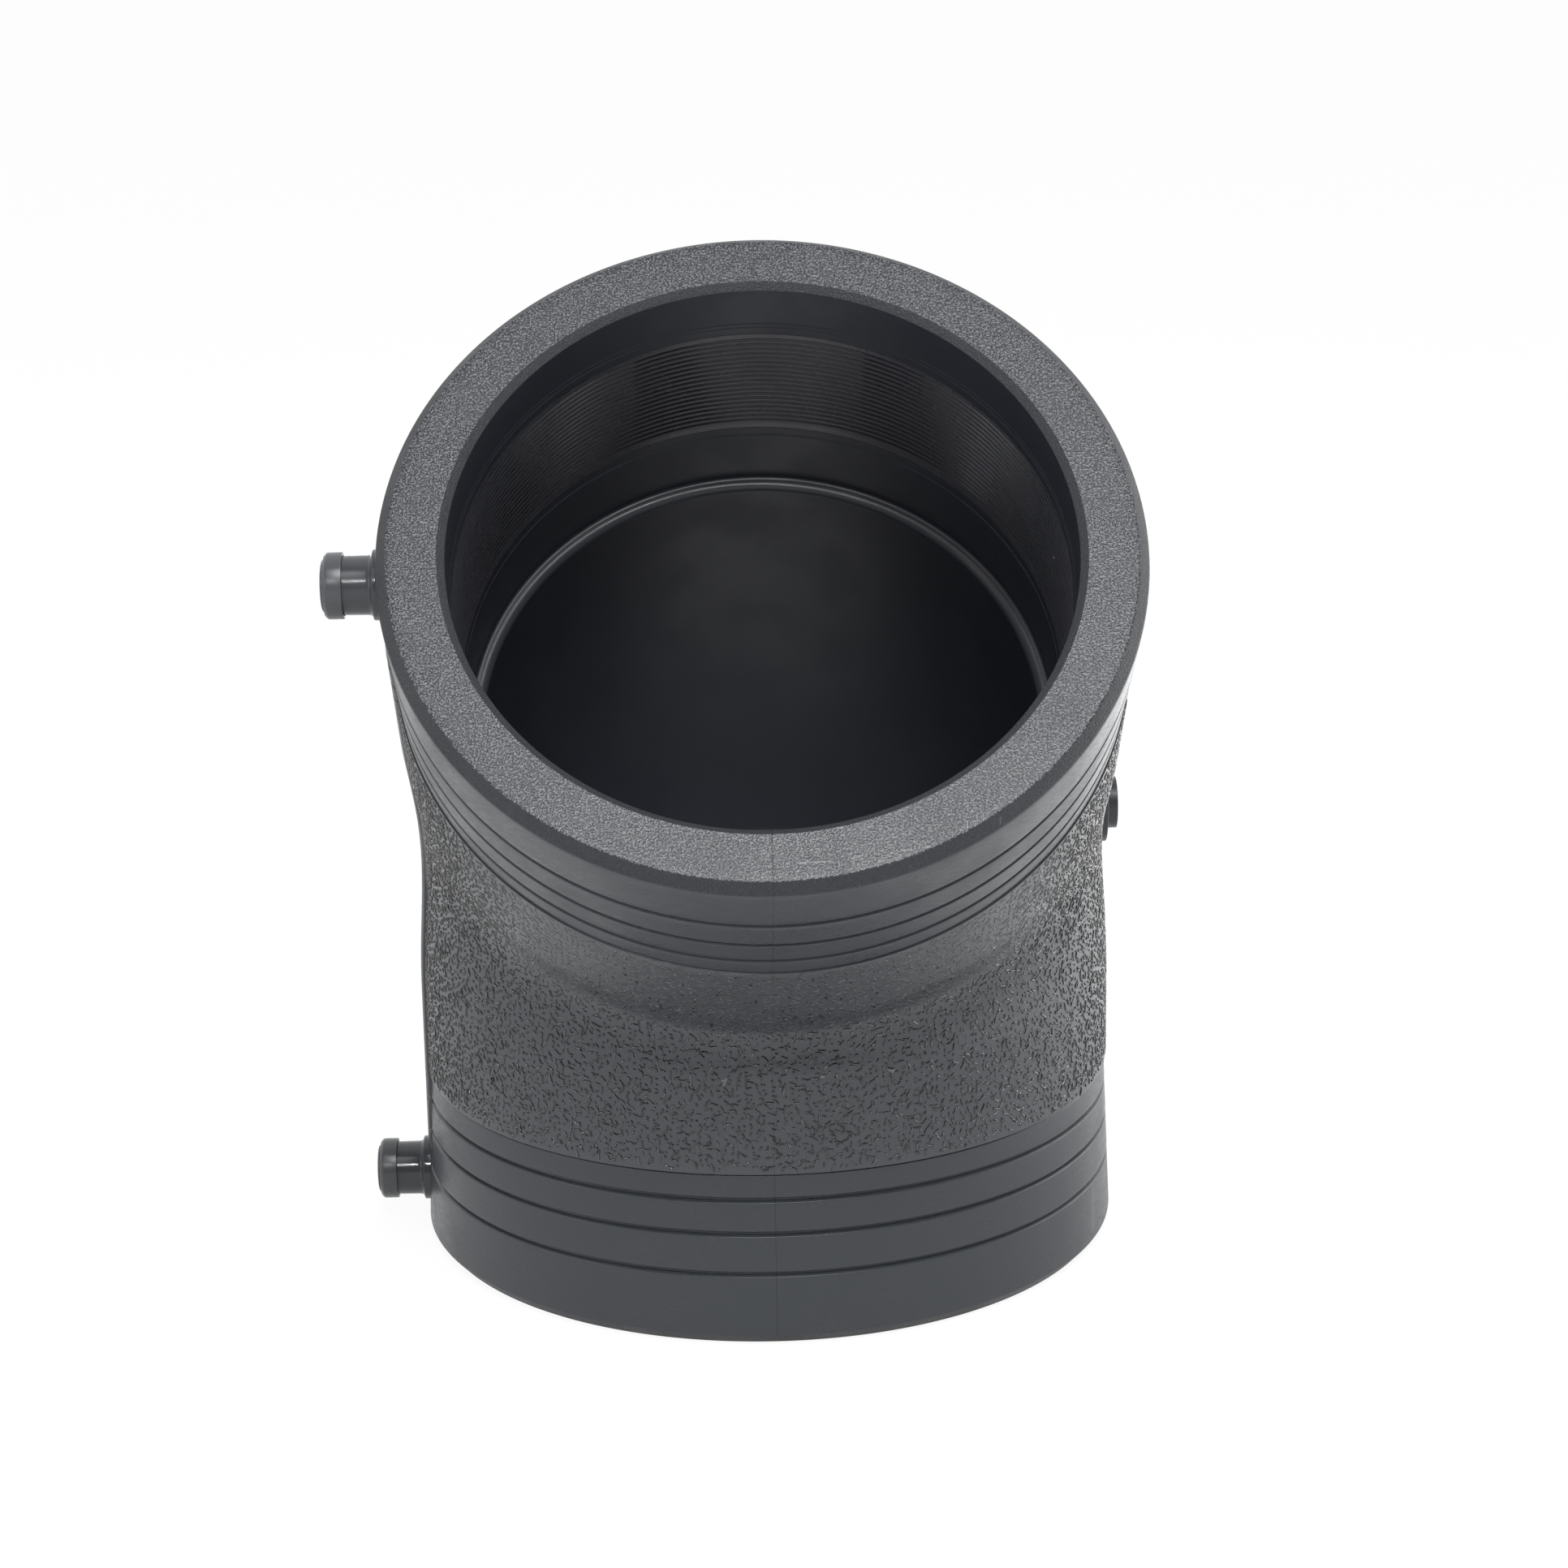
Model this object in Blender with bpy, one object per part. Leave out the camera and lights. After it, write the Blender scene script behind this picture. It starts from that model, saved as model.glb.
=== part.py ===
"""Electrofusion elbow of 45 degrees for 160 mm polyethylene pipe.

The lower socket stands upright on the floor and the upper socket leans towards -Y.
Both axes lie in the YZ plane and the terminals point along -X.
The body is swept as rings along a path that is straight, then bent, then straight.
"""

import math

import bmesh
import bpy
import numpy as np
from mathutils import Matrix, Vector

MM = 0.001

# Bore of each socket, from the mouth inwards: cold zone, heated zone, cold zone, pipe stop.
BORE_RADIUS = 80.8 * MM
LEAD_IN_WIDTH = 2.4 * MM
LEAD_IN_HEIGHT = 1.6 * MM
MOUTH_COLD_ZONE = 17.0 * MM
HEATED_MARGIN = 3.8 * MM
HEATED_TAIL = 3.4 * MM
INNER_COLD_ZONE = 21.5 * MM
ZONE_STEP = 0.3 * MM

# Winding: coated wire side by side in a recess of the bore, with one helical rib inside.
CLEARANCE = 0.3 * MM
WIRE_PITCH = 2.11 * MM
WINDING_TURNS = 20
WINDING_THICKNESS = 2.1 * MM
RIB_HEIGHT = 0.6 * MM
RIB_TOP = 0.05 * MM
WINDING_START = MOUTH_COLD_ZONE + HEATED_MARGIN
WINDING_END = WINDING_START + (WINDING_TURNS + 1) * WIRE_PITCH
HEATED_END = WINDING_END + HEATED_TAIL
SOCKET_DEPTH = HEATED_END + INNER_COLD_ZONE

# Passage between the pipe stops, which bends about a small throat.
BEND_ANGLE = math.radians(45.0)
STOP_HEIGHT = 4.1 * MM
STOP_FILLET = 0.7 * MM
STOP_ROUNDING = 1.4 * MM
PASSAGE_LEAD = 0.47 * MM
PASSAGE_THROAT = 9.3 * MM
PASSAGE_RINGS = 7
PASSAGE_RADIUS = BORE_RADIUS - STOP_HEIGHT
PASSAGE_BEND_RADIUS = PASSAGE_RADIUS + PASSAGE_THROAT

# From each socket face to the point where the two axes meet.
LIMB_LENGTH = (
    SOCKET_DEPTH
    + STOP_ROUNDING
    + PASSAGE_LEAD
    + PASSAGE_BEND_RADIUS * math.tan(BEND_ANGLE / 2.0)
)

# Outside of the body, which narrows from each mouth to a waist in the bend.
SOCKET_WALL = 18.2 * MM
BAND_LENGTH = 48.6 * MM
BAND_TAPER = 1.8 * MM
RIM_CHAMFER_WIDTH = 2.8 * MM
RIM_CHAMFER_HEIGHT = 3.0 * MM
TEXTURE_STEP = 0.4 * MM
NECK_LENGTH = 25.4 * MM
WAIST_NARROWING = 3.7 * MM
WAIST_RINGS = 6
CREASE_RADIUS = 28.7 * MM
MOUTH_RADIUS = BORE_RADIUS + SOCKET_WALL
BAND_END_RADIUS = MOUTH_RADIUS - BAND_TAPER
WAIST_START = BAND_LENGTH + NECK_LENGTH
WAIST_RADIUS = MOUTH_RADIUS - WAIST_NARROWING
OUTER_BEND_RADIUS = WAIST_RADIUS + CREASE_RADIUS
MID_WALL_RADIUS = BORE_RADIUS + SOCKET_WALL / 2.0

# Marking grooves around each socket, as distances back from the end of the smooth band.
GROOVE_SETBACKS = (28.2 * MM, 16.8 * MM, 7.2 * MM)
GROOVE_WIDTH = 1.6 * MM
GROOVE_DEPTH = 0.8 * MM

# Leads in the wall: one from each winding to its pin, and one that links the windings.
LEAD_RADIUS = 0.9 * MM
LEAD_COVER = 3.25 * MM
LEAD_OVERLAP = 1.2 * MM
LINK_STEPS = 9
LEAD_DEPTH = RIB_TOP + WINDING_THICKNESS + LEAD_COVER

# Terminals: a shroud of the body, a pin in its bore and a cap over its end.
EDGE_BREAK = 0.3 * MM
TERMINAL_SETBACK = 6.3 * MM
SHROUD_RADIUS = 7.6 * MM
SHROUD_WALL = 2.5 * MM
SHROUD_RISE = 13.2 * MM
FLOOR_SINK = 1.6 * MM
COLLAR_WIDTH = 1.6 * MM
COLLAR_RISE = 1.6 * MM
PIN_RADIUS = 2.35 * MM
PIN_DEPTH = 4.2 * MM
PIN_FOOT_FLANGE = 1.25 * MM
PIN_FOOT_OVERLAP = 0.8 * MM
TERMINAL_DISTANCE = WINDING_START - TERMINAL_SETBACK
SHROUD_BORE_RADIUS = SHROUD_RADIUS - SHROUD_WALL
SHROUD_END = MOUTH_RADIUS + SHROUD_RISE
SHROUD_FLOOR = MOUTH_RADIUS - FLOOR_SINK
COLLAR_RADIUS = SHROUD_RADIUS + COLLAR_WIDTH
COLLAR_END = MOUTH_RADIUS + COLLAR_RISE
PIN_FOOT_RADIUS = PIN_RADIUS + PIN_FOOT_FLANGE
PIN_FOOT_START = BORE_RADIUS + LEAD_DEPTH - PIN_FOOT_OVERLAP

# Dust cap on each shroud.
CAP_WALL = 0.75 * MM
CAP_LENGTH = 4.6 * MM
CAP_RIM = 0.5 * MM
CAP_HEAD = 1.3 * MM
CAP_STEP = 1.85 * MM
CAP_PLUG_LENGTH = 3.0 * MM

# Flat pad between the terminals, and the gate boss on the other side.
PAD_SINK = 1.0 * MM
PAD_WAIST_RISE = 0.6 * MM
PAD_HALF_WIDTH = 15.0 * MM
PAD_INSET = 6.0 * MM
PAD_CORNER = 8.0 * MM
BOSS_RADIUS = 7.3 * MM
BOSS_RISE = 4.4 * MM
FLANGE_WIDTH = 3.7 * MM
FLANGE_RISE = 1.3 * MM
PAD_START = TERMINAL_DISTANCE + PAD_INSET
PAD_FACE = MOUTH_RADIUS - PAD_SINK
PAD_WAIST_FACE = WAIST_RADIUS + PAD_WAIST_RISE

# Fusion indicator of each socket: a round trench in the pad that leaves a small pin.
INDICATOR_SPACING = 18.5 * MM
INDICATOR_PIN_RADIUS = 1.9 * MM
INDICATOR_TRENCH = 1.6 * MM
INDICATOR_DEPTH = 3.0 * MM

# Facets around each surface.
BODY_FACETS = 48
WINDING_FACETS = 24
SMALL_FACETS = 18
LEAD_FACETS = 8
SHARP_ANGLE = math.radians(30.0)


def clear_scene():
    """Remove everything that the scene starts with."""
    for existing in list(bpy.data.objects):
        bpy.data.objects.remove(existing)


def make_material(name, colour, roughness, metallic=0.0):
    """Return a new Principled material."""
    material = bpy.data.materials.new(name)
    material.use_nodes = True
    shader = material.node_tree.nodes["Principled BSDF"]
    shader.inputs["Base Color"].default_value = (*colour, 1.0)
    shader.inputs["Roughness"].default_value = roughness
    shader.inputs["Metallic"].default_value = metallic
    return material


def make_object(name, points, faces):
    """Return an object whose faces all point outwards."""
    mesh = bpy.data.meshes.new(name)
    work = bmesh.new()
    corners = [work.verts.new(point) for point in points]
    for face in faces:
        work.faces.new([corners[index] for index in face])
    bmesh.ops.recalc_face_normals(work, faces=work.faces)
    work.to_mesh(mesh)
    work.free()
    made = bpy.data.objects.new(name, mesh)
    bpy.context.scene.collection.objects.link(made)
    return made


def combine(target, operation, tool):
    """Apply one exact Boolean to the target and remove the tool."""
    modifier = target.modifiers.new(tool.name, "BOOLEAN")
    modifier.operation = operation
    modifier.solver = "EXACT"
    modifier.object = tool
    graph = bpy.context.evaluated_depsgraph_get()
    result = bpy.data.meshes.new_from_object(target.evaluated_get(graph))
    target.modifiers.clear()
    target.data = result
    bpy.data.objects.remove(tool)


def finish(target, material):
    """Give the object its material and smooth shading with sharp edges."""
    target.data.materials.clear()
    target.data.materials.append(material)
    target.data.shade_smooth()
    target.data.set_sharp_from_angle(angle=SHARP_ANGLE)


class BendPath:
    """Centre line that runs straight, bends towards -Y and runs straight again."""

    def __init__(self, bend_radius):
        self.bend_radius = bend_radius
        self.straight = LIMB_LENGTH - bend_radius * math.tan(BEND_ANGLE / 2.0)
        self.arc = bend_radius * BEND_ANGLE
        self.total = 2.0 * self.straight + self.arc

    def place(self, distance):
        """Return the centre point and the tilt at this distance from the lower face."""
        bent = min(max(distance - self.straight, 0.0), self.arc)
        tilt = bent / self.bend_radius
        before = min(distance, self.straight)
        after = max(distance - self.straight - self.arc, 0.0)
        y = self.bend_radius * (math.cos(tilt) - 1.0) - after * math.sin(tilt)
        z = before + self.bend_radius * math.sin(tilt) + after * math.cos(tilt)
        return Vector((0.0, y, z)), tilt

    def point(self, distance, sideways, outwards):
        """Return a point beside the path: sideways along X, outwards away from the bend."""
        centre, tilt = self.place(distance)
        across = Vector((0.0, math.cos(tilt), math.sin(tilt)))
        return centre + Vector((sideways, 0.0, 0.0)) + outwards * across

    def ring(self, distance, radius):
        """Return the points of one circle square to the path."""
        turns = np.linspace(0.0, 2.0 * math.pi, BODY_FACETS, endpoint=False)
        return [
            self.point(distance, radius * math.cos(turn), radius * math.sin(turn))
            for turn in turns
        ]


def socket_frames():
    """Return one matrix for each socket: origin on the face, Z into the socket, X kept."""
    lower = Matrix.Identity(4)
    centre = Vector((0.0, -math.sin(BEND_ANGLE), 1.0 + math.cos(BEND_ANGLE))) * LIMB_LENGTH
    upper = Matrix.Translation(centre) @ Matrix.Rotation(BEND_ANGLE - math.pi, 4, "X")
    return {"lower": lower, "upper": upper}


def outer_radius(distance, half_length):
    """Return the smooth outer radius at a distance from the nearer face."""
    if distance <= BAND_LENGTH:
        share = max(distance - RIM_CHAMFER_HEIGHT, 0.0) / (BAND_LENGTH - RIM_CHAMFER_HEIGHT)
        return MOUTH_RADIUS + (BAND_END_RADIUS - MOUTH_RADIUS) * share
    after_step = BAND_END_RADIUS + TEXTURE_STEP
    share = max(distance - WAIST_START, 0.0) / (half_length - WAIST_START)
    ease = 0.5 - 0.5 * math.cos(math.pi * share)
    return after_step + (WAIST_RADIUS - after_step) * ease


def outer_profile(half_length):
    """Return distances and radii of the outside, from a face to the middle of the bend."""
    rim = MOUTH_RADIUS - RIM_CHAMFER_WIDTH
    profile = [(0.0, rim), (RIM_CHAMFER_HEIGHT, MOUTH_RADIUS)]
    for setback in GROOVE_SETBACKS:
        for shift, depth in ((-0.5, 0.0), (0.0, GROOVE_DEPTH), (0.5, 0.0)):
            distance = BAND_LENGTH - setback + shift * GROOVE_WIDTH
            profile.append((distance, outer_radius(distance, half_length) - depth))
    profile.append((BAND_LENGTH, BAND_END_RADIUS))
    profile.append((BAND_LENGTH + TEXTURE_STEP, BAND_END_RADIUS + TEXTURE_STEP))
    for distance in np.linspace(WAIST_START, half_length, WAIST_RINGS + 1):
        profile.append((float(distance), outer_radius(distance, half_length)))
    return profile


def recess_radius():
    """Return the radius of the recess that holds a winding with clearance all round."""
    return (BORE_RADIUS + RIB_TOP + WINDING_THICKNESS + CLEARANCE) / math.cos(
        math.pi / BODY_FACETS
    )


def bore_profile(straight, half_length):
    """Return distances and radii of the inside, from a face to the middle of the bend."""
    land = BORE_RADIUS + ZONE_STEP
    deep_land = BORE_RADIUS - ZONE_STEP
    recess = recess_radius()
    profile = [
        (0.0, land + LEAD_IN_WIDTH - ZONE_STEP),
        (LEAD_IN_HEIGHT, land),
        (MOUTH_COLD_ZONE, land),
        (MOUTH_COLD_ZONE + ZONE_STEP, BORE_RADIUS),
        (WINDING_START - CLEARANCE, BORE_RADIUS),
        (WINDING_START - CLEARANCE, recess),
        (WINDING_END + CLEARANCE, recess),
        (WINDING_END + CLEARANCE, BORE_RADIUS),
        (HEATED_END, BORE_RADIUS),
        (HEATED_END + ZONE_STEP, deep_land),
        (SOCKET_DEPTH - STOP_FILLET, deep_land),
        (SOCKET_DEPTH, deep_land - STOP_FILLET),
        (SOCKET_DEPTH, PASSAGE_RADIUS + STOP_ROUNDING),
        (SOCKET_DEPTH + STOP_ROUNDING, PASSAGE_RADIUS),
    ]
    middle = np.linspace(straight, half_length, (PASSAGE_RINGS + 1) // 2)
    profile.extend((float(distance), PASSAGE_RADIUS) for distance in middle)
    return profile


def both_halves(profile, total):
    """Return the profile followed by its mirror image, without the middle twice."""
    mirrored = [(total - distance, radius) for distance, radius in reversed(profile[:-1])]
    return profile + mirrored


def sweep_body():
    """Return the plain body: outside and bore as one closed loop of rings."""
    outside = BendPath(OUTER_BEND_RADIUS)
    inside = BendPath(PASSAGE_BEND_RADIUS)
    outer = both_halves(outer_profile(outside.total / 2.0), outside.total)
    bore = both_halves(bore_profile(inside.straight, inside.total / 2.0), inside.total)
    rings = [outside.ring(distance, radius) for distance, radius in outer]
    rings += [inside.ring(distance, radius) for distance, radius in reversed(bore)]
    points = [point for ring in rings for point in ring]
    faces = []
    for row in range(len(rings)):
        after = (row + 1) % len(rings)
        for column in range(BODY_FACETS):
            beside = (column + 1) % BODY_FACETS
            faces.append(
                (
                    row * BODY_FACETS + column,
                    row * BODY_FACETS + beside,
                    after * BODY_FACETS + beside,
                    after * BODY_FACETS + column,
                )
            )
    return make_object("elbow_body", points, faces)


def lathe(name, profile, frame):
    """Return a solid turned about the Z axis of the frame, from heights and radii."""
    points = []
    for height, radius in profile:
        for step in range(SMALL_FACETS):
            turn = 2.0 * math.pi * step / SMALL_FACETS
            local = Vector((radius * math.cos(turn), radius * math.sin(turn), height))
            points.append(frame @ local)
    faces = []
    for row in range(len(profile) - 1):
        for column in range(SMALL_FACETS):
            beside = (column + 1) % SMALL_FACETS
            faces.append(
                (
                    row * SMALL_FACETS + column,
                    row * SMALL_FACETS + beside,
                    (row + 1) * SMALL_FACETS + beside,
                    (row + 1) * SMALL_FACETS + column,
                )
            )
    last = (len(profile) - 1) * SMALL_FACETS
    faces.append(tuple(range(SMALL_FACETS)))
    faces.append(tuple(range(last, last + SMALL_FACETS)))
    return make_object(name, points, faces)


def trench(name, frame):
    """Return the ring that cuts the trench of a fusion indicator into the pad."""
    outer = INDICATOR_PIN_RADIUS + INDICATOR_TRENCH
    corners = (
        (PAD_FACE - INDICATOR_DEPTH, INDICATOR_PIN_RADIUS),
        (PAD_FACE - INDICATOR_DEPTH, outer),
        (PAD_FACE + INDICATOR_DEPTH, outer),
        (PAD_FACE + INDICATOR_DEPTH, INDICATOR_PIN_RADIUS),
    )
    points = []
    for height, radius in corners:
        for step in range(SMALL_FACETS):
            turn = 2.0 * math.pi * step / SMALL_FACETS
            local = Vector((radius * math.cos(turn), radius * math.sin(turn), height))
            points.append(frame @ local)
    faces = []
    for row in range(4):
        after = (row + 1) % 4
        for column in range(SMALL_FACETS):
            beside = (column + 1) % SMALL_FACETS
            faces.append(
                (
                    row * SMALL_FACETS + column,
                    row * SMALL_FACETS + beside,
                    after * SMALL_FACETS + beside,
                    after * SMALL_FACETS + column,
                )
            )
    return make_object(name, points, faces)


def tube(name, line, radius):
    """Return a round bar along a line of points, with flat ends."""
    side = None
    points = []
    for index, centre in enumerate(line):
        before = line[max(index - 1, 0)]
        after = line[min(index + 1, len(line) - 1)]
        along = (after - before).normalized()
        if side is None:
            side = along.orthogonal()
        side = (side - along * side.dot(along)).normalized()
        up = along.cross(side)
        for step in range(LEAD_FACETS):
            turn = 2.0 * math.pi * step / LEAD_FACETS
            points.append(centre + radius * (math.cos(turn) * side + math.sin(turn) * up))
    faces = []
    for row in range(len(line) - 1):
        for column in range(LEAD_FACETS):
            beside = (column + 1) % LEAD_FACETS
            faces.append(
                (
                    row * LEAD_FACETS + column,
                    row * LEAD_FACETS + beside,
                    (row + 1) * LEAD_FACETS + beside,
                    (row + 1) * LEAD_FACETS + column,
                )
            )
    last = (len(line) - 1) * LEAD_FACETS
    faces.append(tuple(range(LEAD_FACETS)))
    faces.append(tuple(range(last, last + LEAD_FACETS)))
    return make_object(name, points, faces)


def winding_sleeve(name, frame):
    """Return one winding: a sleeve whose inside is one continuous helical rib.

    The rib is a strip between two helices, the crest and the root. Each turn of the
    root meets the next turn of the crest, so the strip closes up without a seam.
    A flat ring at each end takes up the step where the helix starts and stops.
    """
    facets = WINDING_FACETS
    crest_radius = BORE_RADIUS + RIB_TOP
    root_radius = crest_radius + RIB_HEIGHT
    back_radius = crest_radius + WINDING_THICKNESS
    points = []

    def add(radius, step, height):
        turn = 2.0 * math.pi * step / facets
        local = Vector((radius * math.cos(turn), radius * math.sin(turn), height))
        points.append(frame @ local)
        return len(points) - 1

    rise = WIRE_PITCH / facets
    crest_steps = WINDING_TURNS * facets
    first = WINDING_START + 0.2 * WIRE_PITCH
    squeeze = (WINDING_END - WINDING_START - 0.4 * WIRE_PITCH) / (
        WINDING_END - WINDING_START
    )
    root = []
    for step in range(crest_steps + facets + 1):
        root.append(add(root_radius, step, first + squeeze * rise * step))
    crest = []
    for step in range(crest_steps + 1):
        height = first + squeeze * (rise * step + 0.5 * WIRE_PITCH)
        crest.append(add(crest_radius, step, height))
    low = [add(root_radius, step, WINDING_START) for step in range(facets)]
    high = [add(root_radius, step, WINDING_END) for step in range(facets)]
    low_back = [add(back_radius, step, WINDING_START) for step in range(facets)]
    high_back = [add(back_radius, step, WINDING_END) for step in range(facets)]

    faces = []
    for step in range(crest_steps):
        faces.append((root[step], root[step + 1], crest[step + 1], crest[step]))
        above = step + facets
        faces.append((crest[step], crest[step + 1], root[above + 1], root[above]))
    for step in range(facets - 1):
        faces.append((low[step], low[step + 1], root[step + 1], root[step]))
    faces.append(
        (low[facets - 1], low[0], root[0], crest[0], root[facets], root[facets - 1])
    )
    top = crest_steps
    faces.append(
        (root[top], root[top + 1], high[1], high[0], root[top + facets], crest[top])
    )
    for step in range(1, facets - 1):
        faces.append(
            (root[top + step], root[top + step + 1], high[step + 1], high[step])
        )
    faces.append(
        (root[top + facets - 1], root[top + facets], high[0], high[facets - 1])
    )
    for step in range(facets):
        beside = (step + 1) % facets
        faces.append((low[step], low[beside], low_back[beside], low_back[step]))
        faces.append((high[step], high[beside], high_back[beside], high_back[step]))
        faces.append(
            (low_back[step], low_back[beside], high_back[beside], high_back[step])
        )
    return make_object(name, points, faces)


def lead_line(frame, reach):
    """Return the line of a lead: out of the winding, then back beside the pin foot."""
    depth = BORE_RADIUS + LEAD_DEPTH
    start = WINDING_START + LEAD_RADIUS + 2.0 * CLEARANCE
    inner = BORE_RADIUS + WINDING_THICKNESS - LEAD_OVERLAP
    end = TERMINAL_DISTANCE + reach
    stations = (
        (inner, start),
        (depth - 2.0 * LEAD_RADIUS, start),
        (depth - 0.5 * LEAD_RADIUS, start - 0.5 * LEAD_RADIUS),
        (depth, start - 2.0 * LEAD_RADIUS),
        (depth, end),
    )
    return [frame @ Vector((-radius, 0.0, height)) for radius, height in stations]


def link_line():
    """Return the line of the lead that links the windings, inside the wall at -X."""
    path = BendPath(OUTER_BEND_RADIUS)
    depth = BORE_RADIUS + LEAD_DEPTH
    inner = BORE_RADIUS + WINDING_THICKNESS - LEAD_OVERLAP
    start = WINDING_END - LEAD_RADIUS - 2.0 * CLEARANCE
    stations = [
        (start, inner),
        (start, depth - 2.0 * LEAD_RADIUS),
        (start + 0.5 * LEAD_RADIUS, depth - 0.5 * LEAD_RADIUS),
        (start + 2.0 * LEAD_RADIUS, depth),
    ]
    first = start + 2.0 * LEAD_RADIUS
    middle = np.linspace(first, path.total - first, LINK_STEPS + 2)[1:-1]
    stations += [(float(distance), depth) for distance in middle]
    stations += [(path.total - distance, sideways) for distance, sideways in stations[3::-1]]
    return [path.point(distance, -sideways, 0.0) for distance, sideways in stations]


def side_frame(frame, distance):
    """Return a matrix at this distance from a face: origin on the axis, Z along -X."""
    turn = Matrix.Rotation(math.radians(-90.0), 4, "Y")
    return frame @ Matrix.Translation((0.0, 0.0, distance)) @ turn


def shroud(name, frame):
    """Return the collar and shroud of one terminal, solid."""
    edge = EDGE_BREAK
    fillet = COLLAR_WIDTH
    profile = [
        (MID_WALL_RADIUS, COLLAR_RADIUS),
        (COLLAR_END - edge, COLLAR_RADIUS),
        (COLLAR_END, COLLAR_RADIUS - edge),
        (COLLAR_END + edge, SHROUD_RADIUS + 0.4 * fillet),
        (COLLAR_END + fillet, SHROUD_RADIUS),
        (SHROUD_END - edge, SHROUD_RADIUS),
        (SHROUD_END, SHROUD_RADIUS - edge),
    ]
    return lathe(name, profile, frame)


def shroud_bore(name, frame):
    """Return the cutter for the bore of a shroud and the hole for the pin foot."""
    profile = [
        (PIN_FOOT_START - CLEARANCE, PIN_FOOT_RADIUS + CLEARANCE),
        (SHROUD_FLOOR, PIN_FOOT_RADIUS + CLEARANCE),
        (SHROUD_FLOOR, SHROUD_BORE_RADIUS),
        (SHROUD_END + CLEARANCE, SHROUD_BORE_RADIUS),
    ]
    return lathe(name, profile, frame)


def terminal_pin(name, frame):
    """Return the pin: a foot held in the wall and a round contact in the shroud."""
    tip = SHROUD_END - PIN_DEPTH
    edge = EDGE_BREAK
    profile = [
        (PIN_FOOT_START, PIN_FOOT_RADIUS),
        (SHROUD_FLOOR, PIN_FOOT_RADIUS),
        (SHROUD_FLOOR, PIN_RADIUS),
        (tip - 2.0 * edge, PIN_RADIUS),
        (tip, PIN_RADIUS - 2.0 * edge),
    ]
    return lathe(name, profile, frame)


def terminal_cap(name, frame):
    """Return the dust cap: a skirt over the shroud, a plug in its bore and a head."""
    skirt = SHROUD_RADIUS + CLEARANCE
    under = SHROUD_END + CLEARANCE
    plug = SHROUD_BORE_RADIUS - CLEARANCE
    rim = under + CAP_RIM
    head = skirt + CAP_WALL - CAP_STEP
    profile = [
        (under - CAP_PLUG_LENGTH, plug),
        (under, plug),
        (under, skirt),
        (under - CAP_LENGTH, skirt),
        (under - CAP_LENGTH, skirt + CAP_WALL),
        (rim - CAP_RIM, skirt + CAP_WALL),
        (rim, skirt + CAP_WALL - CAP_RIM),
        (rim, head),
        (under + CAP_HEAD - CAP_RIM, head),
        (under + CAP_HEAD - 0.4 * CAP_RIM, head - CAP_RIM),
        (under + CAP_HEAD, 0.5 * head),
    ]
    return lathe(name, profile, frame)


def marking_pad():
    """Return the flat pad that follows the bend between the two terminals."""
    path = BendPath(OUTER_BEND_RADIUS)
    half = path.total / 2.0
    corner = np.array([0.0, 0.2, 0.55, 1.0]) * PAD_CORNER
    narrow = np.array([0.45, 0.72, 0.93, 1.0]) * PAD_HALF_WIDTH
    near = [(PAD_START + float(step), float(width)) for step, width in zip(corner, narrow)]
    waist = np.linspace(WAIST_START, half, 5)
    near += [(float(distance), PAD_HALF_WIDTH) for distance in waist]
    rows = near + [(path.total - distance, width) for distance, width in near[-2::-1]]
    points = []
    for distance, width in rows:
        nearer = min(distance, path.total - distance)
        share = max(nearer - WAIST_START, 0.0) / (half - WAIST_START)
        face = PAD_FACE + (PAD_WAIST_FACE - PAD_FACE) * (0.5 - 0.5 * math.cos(math.pi * share))
        for sideways, outwards in (
            (MID_WALL_RADIUS, -width),
            (face, -width),
            (face, width),
            (MID_WALL_RADIUS, width),
        ):
            points.append(path.point(distance, -sideways, outwards))
    faces = []
    for row in range(len(rows) - 1):
        for column in range(4):
            beside = (column + 1) % 4
            faces.append(
                (
                    row * 4 + column,
                    row * 4 + beside,
                    (row + 1) * 4 + beside,
                    (row + 1) * 4 + column,
                )
            )
    last = (len(rows) - 1) * 4
    faces.append((0, 1, 2, 3))
    faces.append((last, last + 1, last + 2, last + 3))
    return make_object("marking_pad", points, faces)


def gate_boss():
    """Return the stub of the moulding gate on its round flange, at the middle of the bend."""
    path = BendPath(OUTER_BEND_RADIUS)
    centre, tilt = path.place(path.total / 2.0)
    turn = Matrix.Rotation(tilt, 4, "X") @ Matrix.Rotation(math.radians(90.0), 4, "Y")
    edge = EDGE_BREAK
    flange = BOSS_RADIUS + FLANGE_WIDTH
    step = WAIST_RADIUS + FLANGE_RISE
    end = WAIST_RADIUS + BOSS_RISE
    profile = [
        (MID_WALL_RADIUS, flange),
        (step - edge, flange),
        (step, flange - edge),
        (step, BOSS_RADIUS),
        (end - edge, BOSS_RADIUS),
        (end, BOSS_RADIUS - edge),
    ]
    return lathe("gate_boss", profile, Matrix.Translation(centre) @ turn)


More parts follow.
